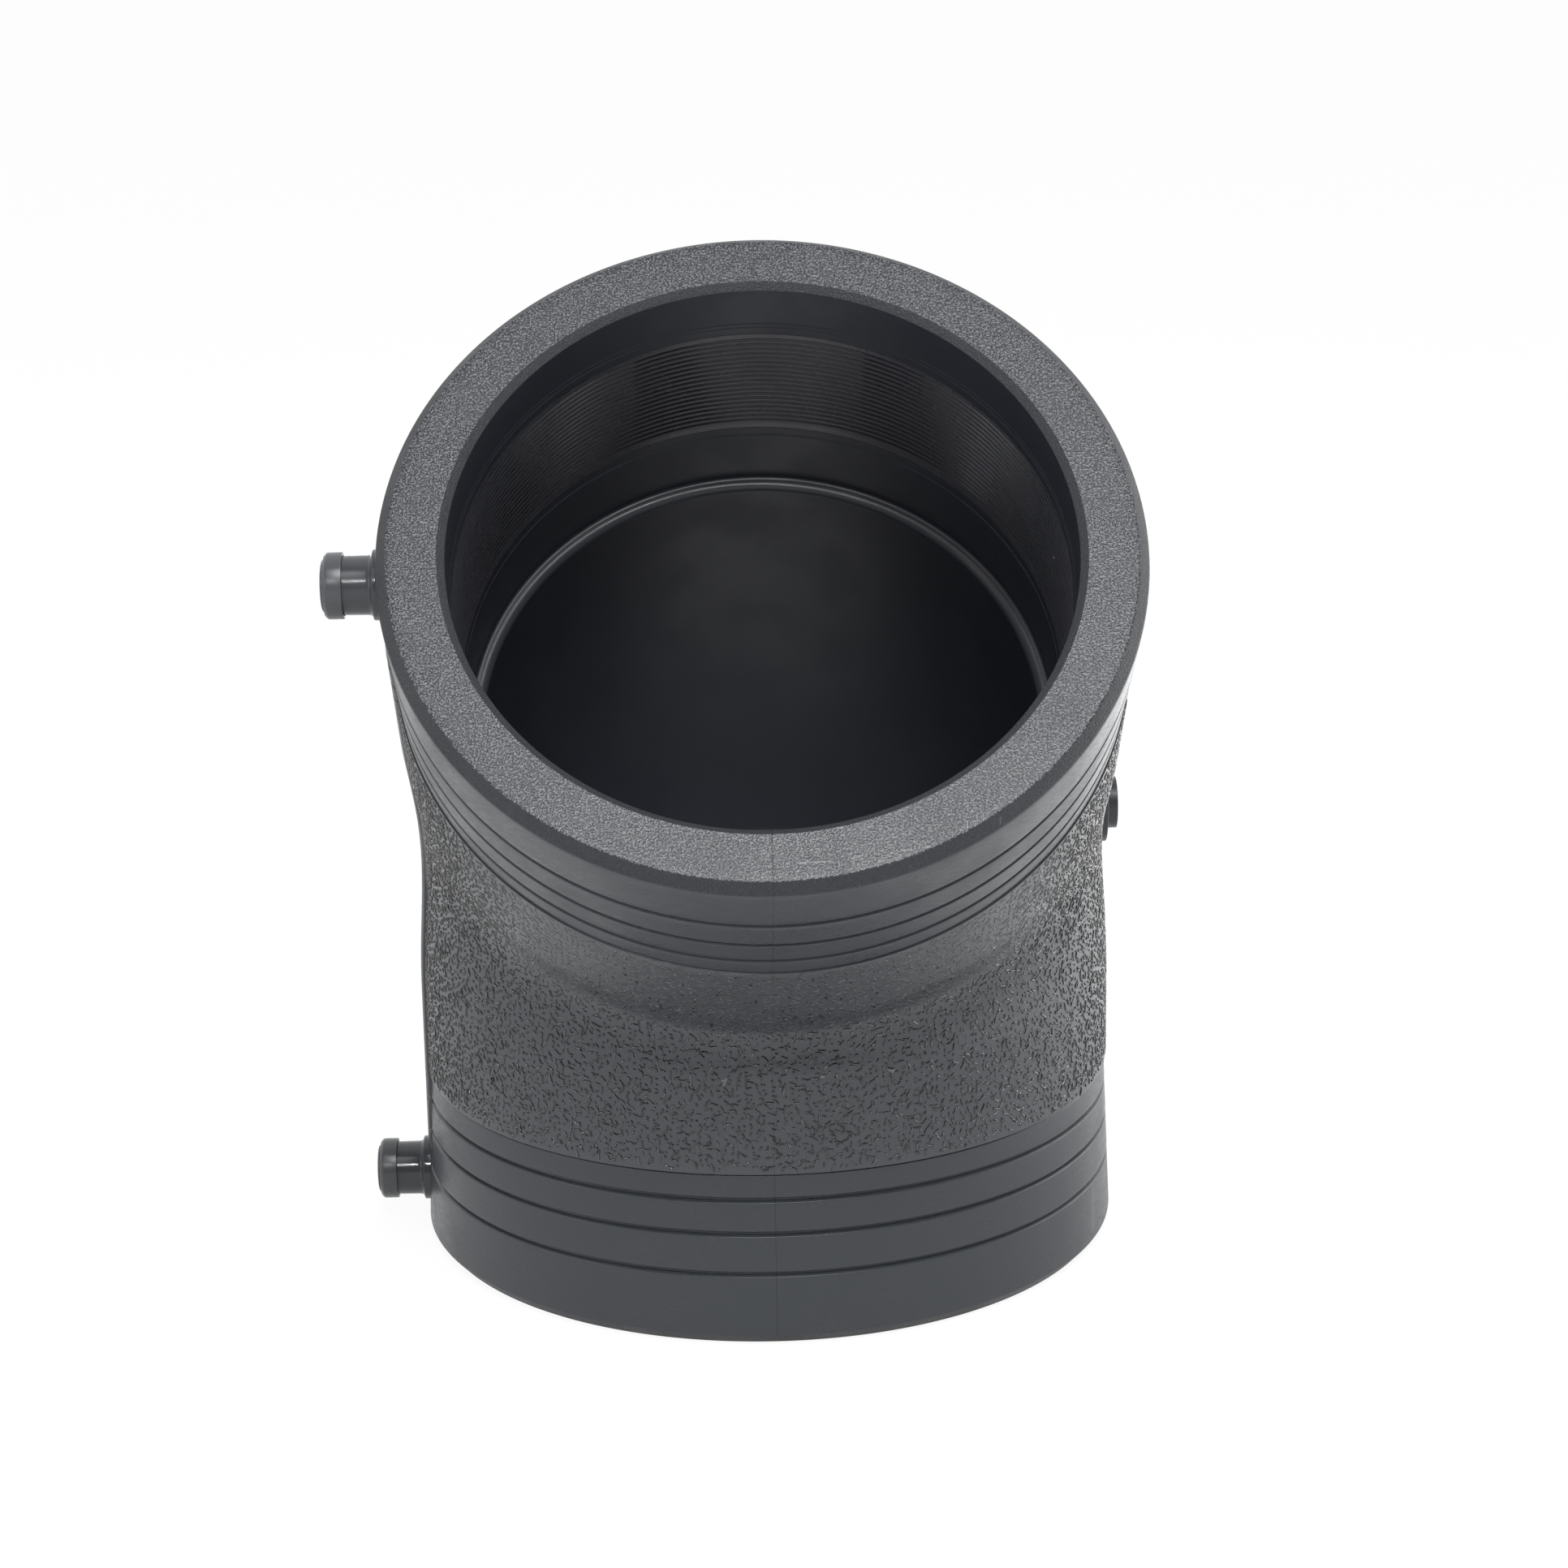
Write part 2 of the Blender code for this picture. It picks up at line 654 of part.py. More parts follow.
def build_body(frames):
    """Return the moulding with its terminals, pad, boss and the hollows for the wire."""
    body = sweep_body()
    combine(body, "UNION", marking_pad())
    combine(body, "UNION", gate_boss())
    for side, frame in frames.items():
        combine(body, "UNION", shroud("shroud_" + side, side_frame(frame, TERMINAL_DISTANCE)))
    for side, frame in frames.items():
        terminal = side_frame(frame, TERMINAL_DISTANCE)
        indicator = side_frame(frame, TERMINAL_DISTANCE + INDICATOR_SPACING)
        combine(body, "DIFFERENCE", shroud_bore("bore_" + side, terminal))
        combine(body, "DIFFERENCE", trench("trench_" + side, indicator))
        channel = lead_line(frame, 0.0)
        combine(body, "DIFFERENCE", tube("channel_" + side, channel, LEAD_RADIUS + CLEARANCE))
    combine(body, "DIFFERENCE", tube("link_channel", link_line(), LEAD_RADIUS + CLEARANCE))
    return body


def build_wire(frames):
    """Return the one heating wire: two windings, the link and a lead to each pin."""
    wire = winding_sleeve("heating_wire", frames["lower"])
    combine(wire, "UNION", winding_sleeve("upper_winding", frames["upper"]))
    combine(wire, "UNION", tube("link", link_line(), LEAD_RADIUS))
    for side, frame in frames.items():
        line = lead_line(frame, PIN_FOOT_RADIUS + CLEARANCE)
        combine(wire, "UNION", tube("lead_" + side, line, LEAD_RADIUS))
    return wire


def stand_on_floor(nodes):
    """Move every node so that the box around them all is centred and stands on Z = 0."""
    corners = np.array([vertex.co for node in nodes for vertex in node.data.vertices])
    low = corners.min(axis=0)
    high = corners.max(axis=0)
    shift = Vector((-(low[0] + high[0]) / 2.0, -(low[1] + high[1]) / 2.0, -low[2]))
    for node in nodes:
        node.data.transform(Matrix.Translation(shift))


def main():
    """Build every node of the elbow."""
    clear_scene()
    polyethylene = make_material("black_polyethylene", (0.028, 0.029, 0.031), 0.45)
    coat = make_material("wire_coat", (0.016, 0.016, 0.018), 0.38)
    brass = make_material("terminal_brass", (0.72, 0.55, 0.24), 0.3, metallic=1.0)
    cap_plastic = make_material("cap_plastic", (0.030, 0.031, 0.033), 0.4)

    frames = socket_frames()
    body = build_body(frames)
    wire = build_wire(frames)
    finish(body, polyethylene)
    finish(wire, coat)
    nodes = [body, wire]
    for side, frame in frames.items():
        place = side_frame(frame, TERMINAL_DISTANCE)
        pin = terminal_pin("terminal_pin_" + side, place)
        cap = terminal_cap("terminal_cap_" + side, place)
        finish(pin, brass)
        finish(cap, cap_plastic)
        nodes += [pin, cap]
    stand_on_floor(nodes)


main()
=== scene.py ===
"""Looks of the electrofusion elbow: detailed surfaces, finishes, floor, lights and camera.

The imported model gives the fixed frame. Each surface here is a grid worked out with
numpy: a profile of distances along the centre line and radii, carried around it.
Distances are measured from a socket face along the centre line, in metres.
"""

import logging
import math
from dataclasses import dataclass, field
from enum import Enum
from typing import Optional, Sequence, Union

import bpy
import numpy as np
from mathutils import Matrix


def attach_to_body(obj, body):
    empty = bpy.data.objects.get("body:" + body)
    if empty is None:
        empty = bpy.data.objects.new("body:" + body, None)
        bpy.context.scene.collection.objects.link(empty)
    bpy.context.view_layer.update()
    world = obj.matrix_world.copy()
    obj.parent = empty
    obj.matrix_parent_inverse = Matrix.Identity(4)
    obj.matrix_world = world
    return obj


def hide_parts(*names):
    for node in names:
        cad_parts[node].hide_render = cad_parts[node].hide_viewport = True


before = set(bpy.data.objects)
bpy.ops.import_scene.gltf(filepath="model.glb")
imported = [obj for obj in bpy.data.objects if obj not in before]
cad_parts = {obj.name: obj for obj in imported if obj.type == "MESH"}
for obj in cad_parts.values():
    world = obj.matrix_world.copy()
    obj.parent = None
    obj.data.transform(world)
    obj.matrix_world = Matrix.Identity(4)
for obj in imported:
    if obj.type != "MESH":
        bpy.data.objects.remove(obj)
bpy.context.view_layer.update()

MM = 0.001
X_WAY = np.array([1.0, 0.0, 0.0])
Z_WAY = np.array([0.0, 0.0, 1.0])
WHITE = (1.0, 1.0, 1.0, 1.0)
BLACK = (0.0, 0.0, 0.0, 1.0)
# Pale tone of real wear marks and of the painted highlights on grain crests.
WEAR_AND_GLINT = (0.35, 0.35, 0.36, 1.0)
LINE_CORE = 0.3
LOG = logging.getLogger("elbow")
Array = np.ndarray
Socket = Union[bpy.types.NodeSocket, float, tuple]


class Side(Enum):
    """Which way a turned detail points along X."""

    LEFT = -1.0
    RIGHT = 1.0


def smooth_step(value: Array, start: float, end: float) -> Array:
    """Ease from 0 at start to 1 at end: t squared times (3 - 2 t).

    Args:
        value: Numbers to ease.
        start: Value that gives 0.
        end: Value that gives 1.

    Returns:
        The eased numbers, from 0 to 1.
    """
    share = np.clip((value - start) / (end - start), 0.0, 1.0)
    return share * share * (3.0 - 2.0 * share)


def rounded_profile(corners: Sequence[tuple[float, float, float]], steps: int = 4) -> Array:
    """Round the corners of a profile, each with a quadratic curve.

    The curve leaves the incoming side one size before the corner and meets the
    outgoing side one size after it. A size of 0 keeps the corner sharp.

    Args:
        corners: Distance, radius and size of rounding of each corner.
        steps: Spans of each curve.

    Returns:
        Rows of distance and radius.
    """
    rows = []
    share = np.linspace(0.0, 1.0, steps + 1)[:, None]
    for index, (distance, radius, size) in enumerate(corners):
        here = np.array([distance, radius])
        if size <= 0.0 or index in (0, len(corners) - 1):
            rows.append(here[None, :])
            continue
        before = np.array(corners[index - 1][:2]) - here
        after = np.array(corners[index + 1][:2]) - here
        start = here + before * min(size / np.linalg.norm(before), 0.49)
        end = here + after * min(size / np.linalg.norm(after), 0.49)
        curve = (1 - share) ** 2 * start + 2 * share * (1 - share) * here + share**2 * end
        rows.append(curve)
    return np.concatenate(rows)


def fill_spans(profile: Array, longest: float) -> Array:
    """Add points to a profile until no span is longer than a length.

    Args:
        profile: Rows of distance and radius.
        longest: Longest span allowed.

    Returns:
        The profile with evenly spaced points added to its long spans.
    """
    spans = np.linalg.norm(np.diff(profile, axis=0), axis=1)
    counts = np.maximum(np.ceil(spans / longest).astype(int), 1)
    starts = np.repeat(np.arange(len(spans)), counts)
    within = np.arange(counts.sum()) - np.repeat(np.cumsum(counts) - counts, counts)
    share = (within / np.repeat(counts, counts))[:, None]
    filled = profile[starts] * (1 - share) + profile[starts + 1] * share
    return np.concatenate([filled, profile[-1:]])


def mirrored(half: Array, length: float) -> Array:
    """Double a profile that ends in the middle of a line.

    Args:
        half: Rows of distance and radius, from one end to the middle.
        length: Length of the line.

    Returns:
        Rows from one end to the other.
    """
    rest = half[:-1][::-1].copy()
    rest[:, 0] = length - rest[:, 0]
    return np.concatenate([half, rest])


def around(columns: int) -> Array:
    """Return evenly spaced angles of a whole turn."""
    return np.linspace(0.0, 2.0 * math.pi, columns, endpoint=False)


def unit(ways: Array) -> Array:
    """Return each way at length 1."""
    return ways / np.linalg.norm(ways, axis=-1, keepdims=True)


def link_object(name: str, data: bpy.types.ID) -> bpy.types.Object:
    """Make an object and link it to the scene.

    Args:
        name: Name of the object.
        data: Its mesh, lamp or camera.

    Returns:
        The object.
    """
    made = bpy.data.objects.new(name, data)
    bpy.context.scene.collection.objects.link(made)
    return made


def set_axes(made: bpy.types.Object, place: Sequence[float], axes: Sequence[Array]) -> None:
    """Place an object with its X, Y and Z along three ways."""
    rows = [[*(axis[i] for axis in axes), place[i]] for i in range(3)]
    made.matrix_world = Matrix(rows + [[0.0, 0.0, 0.0, 1.0]])


@dataclass(frozen=True)
class BendLine:
    """Centre line that runs straight up, bends towards -Y and runs straight again.

    Attributes:
        bend_radius: Radius of the arc.
        limb: Distance from a socket face to the point where the two axes meet.
        angle: Angle of the bend.
        foot: Place of the lower face centre on the floor.
    """

    bend_radius: float
    limb: float = 127.5 * MM
    angle: float = math.radians(45.0)
    foot: tuple[float, float] = (7.05 * MM, 29.59 * MM)

    @property
    def straight(self) -> float:
        """Length of each straight part."""
        return self.limb - self.bend_radius * math.tan(self.angle / 2.0)

    @property
    def length(self) -> float:
        """Length of the whole line."""
        return 2.0 * self.straight + self.bend_radius * self.angle

    def places(self, distance: Array) -> tuple[Array, Array]:
        """Find the centre and the outward direction at each distance.

        The tilt grows along the arc as distance over bend radius. The direction is
        square to X and to the line, and points away from the bend.

        Args:
            distance: Distances from the lower face.

        Returns:
            Centre and direction of each distance.
        """
        arc = self.bend_radius * self.angle
        tilt = np.clip(distance - self.straight, 0.0, arc) / self.bend_radius
        before = np.minimum(distance, self.straight)
        after = np.maximum(distance - self.straight - arc, 0.0)
        y = self.bend_radius * (np.cos(tilt) - 1.0) - after * np.sin(tilt)
        z = before + self.bend_radius * np.sin(tilt) + after * np.cos(tilt)
        centre = np.stack([np.full_like(y, self.foot[0]), y + self.foot[1], z], axis=-1)
        outwards = np.stack([np.zeros_like(tilt), np.cos(tilt), np.sin(tilt)], axis=-1)
        return centre, outwards

    def sweep(self, distance: Array, turn: Array, radius: Array) -> Array:
        """Carry radii around the line.

        Point = centre + radius cos(turn) along X + radius sin(turn) outwards.

        Args:
            distance: Distances from the lower face.
            turn: Angles around.
            radius: Radii. All three have shapes that spread to one grid.

        Returns:
            Grid of points.
        """
        centre, outwards = self.places(distance)
        across = (radius * np.cos(turn))[..., None] * X_WAY
        away = (radius * np.sin(turn))[..., None] * outwards
        return centre + across + away

    def axis_point(self, distance: float) -> Array:
        """Return the centre at one distance from the lower face."""
        return self.places(np.array([distance]))[0][0]


OUTSIDE_LINE = BendLine(124.0 * MM)
PASSAGE_LINE = BendLine(86.0 * MM)


@dataclass
class MeshParts:
    """Grids of points gathered into one mesh.

    Attributes:
        points: Point arrays gathered so far.
        faces: Corners of each face gathered so far.
        marks: Material index arrays, one number for each face.
        count: Number of points so far.
    """

    points: list[Array] = field(default_factory=list)
    faces: list[list[int]] = field(default_factory=list)
    marks: list[Array] = field(default_factory=list)
    count: int = 0

    def gather(self, points: Array, faces: Array, marks: Array) -> None:
        """Add points and the faces between them.

        Args:
            points: Points in a grid of any shape.
            faces: Indices of the corners of each face.
            marks: Material index of each face.
        """
        self.points.append(points.reshape(-1, 3))
        self.faces += faces.tolist()
        self.marks.append(marks)
        self.count += len(self.points[-1])

    def add_grid(
        self,
        grid: Array,
        inwards: bool = False,
        close_rows: bool = False,
        marks: Optional[Array] = None,
    ) -> Array:
        """Add a grid of points whose columns close up into rings.

        Args:
            grid: Points in rows and columns.
            inwards: Turns the faces round.
            close_rows: Joins the last row to the first.
            marks: Material index of each row of faces, or of each face.

        Returns:
            Index of each point, in rows and columns.
        """
        rows, columns = grid.shape[:2]
        index = self.count + np.arange(rows * columns).reshape(rows, columns)
        low = index if close_rows else index[:-1]
        high = np.roll(index, -1, axis=0) if close_rows else index[1:]
        ring = [low, np.roll(low, -1, axis=1), np.roll(high, -1, axis=1), high]
        quads = np.stack(ring[::-1] if inwards else ring, axis=-1).reshape(-1, 4)
        chosen = np.zeros(len(low), int) if marks is None else marks
        chosen = np.repeat(chosen, columns) if chosen.ndim == 1 else chosen.ravel()
        self.gather(grid, quads, chosen)
        return index

    def add_patches(self, patches: Array) -> None:
        """Add many open patches of one size.

        Args:
            patches: Points by patch, row and column.
        """
        shape = patches.shape[:3]
        index = self.count + np.arange(math.prod(shape)).reshape(shape)
        low = index[:, :-1]
        high = index[:, 1:]
        ring = [low[..., :-1], low[..., 1:], high[..., 1:], high[..., :-1]]
        quads = np.stack(ring, axis=-1).reshape(-1, 4)
        self.gather(patches, quads, np.zeros(len(quads), int))

    def add_fan(self, ring: Array, centre: Array, inwards: bool = False) -> None:
        """Close a ring of points with triangles to its centre.

        Args:
            ring: Indices of the ring.
            centre: Place of the centre.
            inwards: Turns the faces round.
        """
        middle = np.full(len(ring), self.count)
        sides = [ring, np.roll(ring, -1), middle]
        triangles = np.stack(sides[::-1] if inwards else sides, axis=-1)
        self.gather(centre, triangles, np.zeros(len(ring), int))

    def add_turned(
        self,
        profile: Array,
        origin: Array,
        side: Side,
        columns: int = 64,
        closed: Sequence[int] = (),
    ) -> None:
        """Add a profile turned about a line along X.

        Point = origin + height along the side + radius cos(turn) in Y + radius sin(turn)
        in Z.

        Args:
            profile: Rows of height and radius.
            origin: Point on the line at height 0.
            side: Way the heights run.
            columns: Points around.
            closed: Rows to close with a fan, of the first, 0, and the last, -1.
        """
        turn = around(columns)
        height = profile[:, :1] * side.value + np.zeros_like(turn)
        y = profile[:, 1:] * np.cos(turn)
        z = profile[:, 1:] * np.sin(turn)
        inwards = side is Side.LEFT
        index = self.add_grid(origin + np.stack([height, y, z], axis=-1), inwards)
        for row in closed:
            centre = origin + profile[row, 0] * side.value * X_WAY
            self.add_fan(index[row], centre, inwards == (row < 0))

    def build(
        self,
        name: str,
        materials: Sequence[bpy.types.Material],
        sharp: float = 40.0,
        crest: Optional[Array] = None,
    ) -> bpy.types.Object:
        """Make the object, smooth but for its sharp edges.

        Args:
            name: Name of the object.
            materials: Materials in the order of the marks.
            sharp: Angle in degrees above which an edge stays sharp.
            crest: Share of the height of a dash or a rib at each point, which the finish
            reads to paint shade at the feet and in the valleys and to keep the crests pale.

        Returns:
            The object, linked to the scene.
        """
        mesh = bpy.data.meshes.new(name)
        mesh.from_pydata(np.concatenate(self.points).tolist(), [], self.faces)
        for material in materials:
            mesh.materials.append(material)
        mesh.polygons.foreach_set("material_index", np.concatenate(self.marks))
        mesh.shade_smooth()
        mesh.set_sharp_from_angle(angle=math.radians(sharp))
        mesh.validate()
        if crest is not None:
            layer = mesh.attributes.new("crest", "FLOAT", "POINT")
            layer.data.foreach_set("value", crest)
        return link_object(name, mesh)


class Graph:
    """Small helper that adds and joins the nodes of a material or the world."""

    def __init__(self, owner: Union[bpy.types.Material, bpy.types.World]) -> None:
        """Start on the nodes of a material or the world.

        Args:
            owner: What holds the nodes.
        """
        owner.use_nodes = True
        self.owner = owner
        self.tree = owner.node_tree

    def put(self, socket: bpy.types.NodeSocket, value: Socket) -> None:
        """Link a node's output to a socket, or set the socket to a value.

        Args:
            socket: Input of a node.
            value: Output of another node, or a number or tuple.
        """
        if isinstance(value, bpy.types.NodeSocket):
            self.tree.links.new(value, socket)
        else:
            socket.default_value = value

    def dress(self, node: bpy.types.Node, inputs: dict[str, Socket]) -> None:
        """Put a value or an output into each named input of a node."""
        for key, value in inputs.items():
            self.put(node.inputs[key], value)

    def node(self, kind: str, inputs: dict[str, Socket], **settings: object) -> bpy.types.Node:
        """Add one node.

        Args:
            kind: Type of the node without its prefix.
            inputs: Value or output for each named input.
            settings: Properties of the node.

        Returns:
            The node.
        """
        made = self.tree.nodes.new("ShaderNode" + kind)
        for key, value in settings.items():
            setattr(made, key, value)
        self.dress(made, inputs)
        return made

    def row(self, kind: str, values: Sequence[Socket], **settings: object) -> bpy.types.Node:
        """Add one node and fill its first inputs in order.

        Args:
            kind: Type of the node without its prefix.
            values: Value or output for each input.
            settings: Properties of the node.

        Returns:
            The node.
        """
        made = self.node(kind, {}, **settings)
        for socket, value in zip(made.inputs, values):
            self.put(socket, value)
        return made

    def maths(self, operation: str, *values: Socket) -> bpy.types.NodeSocket:
        """Add a Math node and return its output."""
        return self.row("Math", values, operation=operation).outputs[0]

    def vector(self, operation: str, *values: Socket) -> bpy.types.Node:
        """Add a Vector Math node and return it."""
        return self.row("VectorMath", values, operation=operation)

    def ease(
        self, value: Socket, start: float, end: float, low: float = 0.0, high: float = 1.0
    ) -> bpy.types.NodeSocket:
        """Ease a value from low at start to high at end.

        Args:
            value: Value to ease.
            start: Value that gives low.
            end: Value that gives high.
            low: Result at start.
            high: Result at end.

        Returns:
            The eased output.
        """
        inputs = {"Value": value, "From Min": start, "From Max": end}
        inputs |= {"To Min": low, "To Max": high}
        made = self.node("MapRange", inputs, interpolation_type="SMOOTHSTEP")
        return made.outputs["Result"]

    def place(self) -> bpy.types.NodeSocket:
        """Return the Object coordinates."""
        return self.node("TexCoord", {}).outputs["Object"]

    def noise(
        self, place: Socket, size: float, detail: float = 2.0, roughness: float = 0.5
    ) -> bpy.types.Node:
        """Add a Noise Texture with features of about one size.

        Args:
            place: Coordinates in metres.
            size: Size of its features in metres.
            detail: Number of finer layers.
            roughness: Weight of the finer layers.

        Returns:
            The node.
        """
        inputs = {"Vector": place, "Scale": 1.0 / size, "Detail": detail, "Roughness": roughness}
        return self.node("TexNoise", inputs)

    def blend(self, share: Socket, first: Socket, second: Socket) -> bpy.types.NodeSocket:
        """Blend two colours.

        Args:
            share: Share of the second, from 0 to 1.
            first: First colour.
            second: Second colour.

        Returns:
            The blended colour.
        """
        mix = self.node("Mix", {}, data_type="RGBA")
        for place, value in zip((0, 6, 7), (share, first, second)):
            self.put(mix.inputs[place], value)
        return mix.outputs[2]

    def to_camera(self, other: Socket, seen: Socket) -> bpy.types.NodeSocket:
        """Choose a number by the kind of ray.

        Args:
            other: Number for all other rays.
            seen: Number for camera rays.

        Returns:
            The chosen output.
        """
        camera = self.node("LightPath", {}).outputs["Is Camera Ray"]
        mix = self.node("Mix", {"Factor": camera, "A": other, "B": seen}, data_type="FLOAT")
        return mix.outputs[0]

    def bump(
        self, height: Socket, depth: float, before: Optional[Socket] = None, strength: float = 1.0
    ) -> bpy.types.NodeSocket:
        """Add a Bump node.

        Args:
            height: Height from 0 to 1.
            depth: Height in metres that 1 stands for.
            before: Normal from an earlier Bump node.
            strength: Strength of the node.

        Returns:
            The bumped normal.
        """
        inputs = {"Height": height, "Distance": depth, "Strength": strength}
        if before is not None:
            inputs["Normal"] = before
        return self.node("Bump", inputs).outputs["Normal"]


@dataclass(frozen=True)
class Mark:
    """A scratch, nick or scuff on the surface, as a line between two places.

    Attributes:
        start: One end, in metres.
        end: Other end, in metres.
        width: Half width of the mark.
        depth: Depth of the mark, negative where it stands proud.
        shade: Amount that it lightens the colour.
    """

    start: tuple[float, float, float]
    end: tuple[float, float, float]
    width: float
    depth: float = 0.0
    shade: float = 0.0

    def cover(self, graph: Graph, place: Socket) -> bpy.types.NodeSocket:
        """Return 1 on the mark and 0 away from it.

        Distance to the line: place less start, less its share along the line held
        between 0 and 1.

        Args:
            graph: Graph to add to.
            place: Object coordinates.

        Returns:
            The cover output.
        """
        along = np.array(self.end) - np.array(self.start)
        offset = graph.vector("SUBTRACT", place, self.start).outputs[0]
        share = graph.vector("DOT_PRODUCT", offset, tuple(along / (along @ along)))
        held = graph.maths("MINIMUM", graph.maths("MAXIMUM", share.outputs["Value"], 0.0), 1.0)
        reach = graph.node("VectorMath", {"Scale": held}, operation="SCALE")
        graph.put(reach.inputs[0], tuple(along))
        gap = graph.vector("DISTANCE", offset, reach.outputs[0])
        return graph.ease(gap.outputs["Value"], self.width, LINE_CORE * self.width)


@dataclass(frozen=True)
class Polyethylene:
    """Black moulded polyethylene, the base of every finish of the body.

    Attributes:
        name: Name of the material.
        colour: Base colour.
        roughness: Mean roughness.
        mottle: Change of roughness over the soft patches.
        grain_size: Size of the grain.
        grain_depth: Depth of the grain.
        crest_glint: Amount by which the crests of the grain are paler: painted highlights, glints
            painted onto the grain's crests.
        streaks: Depth of the fine streaks around the part.
        parting: Whether the parting line of the mould crosses it.
        foot: Share of the colour that is left at the foot of a dash or a rib: painted shade at the
            feet of dashes and in the valleys between ribs.
        gloss: Specular level.
        coat: Weight of the second gloss on top.
        ripple: Depth of the wide ripples.
        marks: Marks on it.
        parting_half_width: Half width of the parting line.
        parting_plane: Place of the parting line along X.
        parting_depth: Depth of the parting line.
        parting_shade: Amount by which the parting line is darker.
        patch_size: Size of the soft patches.
        patch_span: Values of their noise between which the roughness changes.
        ripple_size: Length of the wide ripples.
        streak_size: Width of the fine streaks.
        streak_stretch: Scale of the streaks along X, Y and Z.
        streak_mottle: Change of roughness over the streaks.
        streak_span: Values of their noise between which it changes.
        glint_span: Grain values between which its crests turn pale with these painted highlights.
        crest_light_span: Shares of the height between which the painted shade gives way to the
            full colour of a crest, a painted highlight.
        coat_roughness: Roughness of the second gloss.
        coat_index: Refractive index of the second gloss.
    """

    name: str
    colour: tuple[float, float, float]
    roughness: float
    mottle: float = 0.05
    grain_size: float = 0.35 * MM
    grain_depth: float = 0.004 * MM
    crest_glint: float = 0.0
    streaks: float = 0.0
    parting: bool = False
    foot: float = 1.0
    gloss: float = 0.5
    coat: float = 0.0
    ripple: float = 0.0
    marks: tuple[Mark, ...] = ()
    parting_half_width: float = 0.16 * MM
    parting_plane: float = 7.05 * MM
    parting_depth: float = 0.05 * MM
    parting_shade: float = 0.45
    patch_size: float = 18.0 * MM
    patch_span: tuple[float, float] = (0.3, 0.7)
    ripple_size: float = 2.4 * MM
    streak_size: float = 0.45 * MM
    streak_stretch: tuple[float, float, float] = (0.12, 0.12, 1.0)
    streak_mottle: float = 0.05
    streak_span: tuple[float, float] = (0.35, 0.65)
    glint_span: tuple[float, float] = (0.47, 0.62)
    crest_light_span: tuple[float, float] = (0.5, 1.0)
    coat_roughness: float = 0.13
    coat_index: float = 1.7

    def build(self) -> bpy.types.Material:
        """Make the material.

        Returns:
            The material.
        """
        graph = Graph(bpy.data.materials.new(self.name))
        place = graph.place()
        patches = graph.noise(place, self.patch_size, detail=3.0).outputs["Fac"]
        low, high = self.roughness - self.mottle, self.roughness + self.mottle
        rough = graph.ease(patches, *self.patch_span, low, high)
        grain = graph.noise(place, self.grain_size, detail=2.0, roughness=0.6).outputs["Fac"]
        normal = graph.bump(grain, self.grain_depth)
        if self.ripple:
            waves = graph.noise(place, self.ripple_size, detail=1.0).outputs["Fac"]
            normal = graph.bump(waves, self.ripple, normal)
        if self.streaks:
            lines = graph.vector("MULTIPLY", place, self.streak_stretch).outputs[0]
            lines = graph.noise(lines, self.streak_size, 3.0, 0.7).outputs["Fac"]
            normal = graph.bump(lines, self.streaks, normal)
            scuffs = graph.ease(lines, *self.streak_span, -self.streak_mottle, self.streak_mottle)
            rough = graph.maths("ADD", rough, scuffs)
        # Real marks and painted highlights on the grain's crests both lighten the colour towards
        # that pale tone.
        wear_and_glint: Socket = 0.0
        # Painted highlight: the crests of the grain are made paler, as glints.
        if self.crest_glint:
            wear_and_glint = graph.maths("MULTIPLY", graph.ease(grain, *self.glint_span), self.crest_glint)
        if self.parting:
            x = graph.node("SeparateXYZ", {"Vector": place}).outputs["X"]
            gap = graph.maths("ABSOLUTE", graph.maths("SUBTRACT", x, self.parting_plane))
            line = graph.ease(gap, self.parting_half_width, LINE_CORE * self.parting_half_width)
            normal = graph.bump(line, -self.parting_depth, normal)
        for mark in self.marks:
            cover = mark.cover(graph, place)
            if mark.depth:
                normal = graph.bump(cover, -mark.depth, normal)
            if mark.shade:
                wear_and_glint = graph.maths("MULTIPLY_ADD", cover, mark.shade, wear_and_glint)
        colour: Socket = (*self.colour, 1.0)
        coat: Socket = self.coat
        if isinstance(wear_and_glint, bpy.types.NodeSocket):
            colour = graph.blend(wear_and_glint, colour, WEAR_AND_GLINT)
        if self.parting:
            shade = graph.maths("MULTIPLY", line, self.parting_shade)
            colour = graph.blend(shade, colour, BLACK)
        # Painted shade and highlight: the colour darkens towards the foot of each dash and into
        # the valleys between ribs, crests keep the full colour, and the coat follows the same
        # share.
        if self.foot < 1.0:
            crest = graph.node("Attribute", {}, attribute_name="crest").outputs["Fac"]
            pale = graph.ease(crest, *self.crest_light_span)
            dark = tuple(self.foot * value for value in self.colour) + (1.0,)
            colour = graph.blend(pale, dark, colour)
            coat = graph.maths("MULTIPLY", pale, self.coat)
        inputs = {"Base Color": colour, "Roughness": rough, "Normal": normal}
        inputs |= {"Specular IOR Level": self.gloss, "Coat Weight": coat}
        inputs |= {"Coat Roughness": self.coat_roughness, "Coat IOR": self.coat_index}
        graph.dress(graph.tree.nodes["Principled BSDF"], inputs)
        return graph.owner


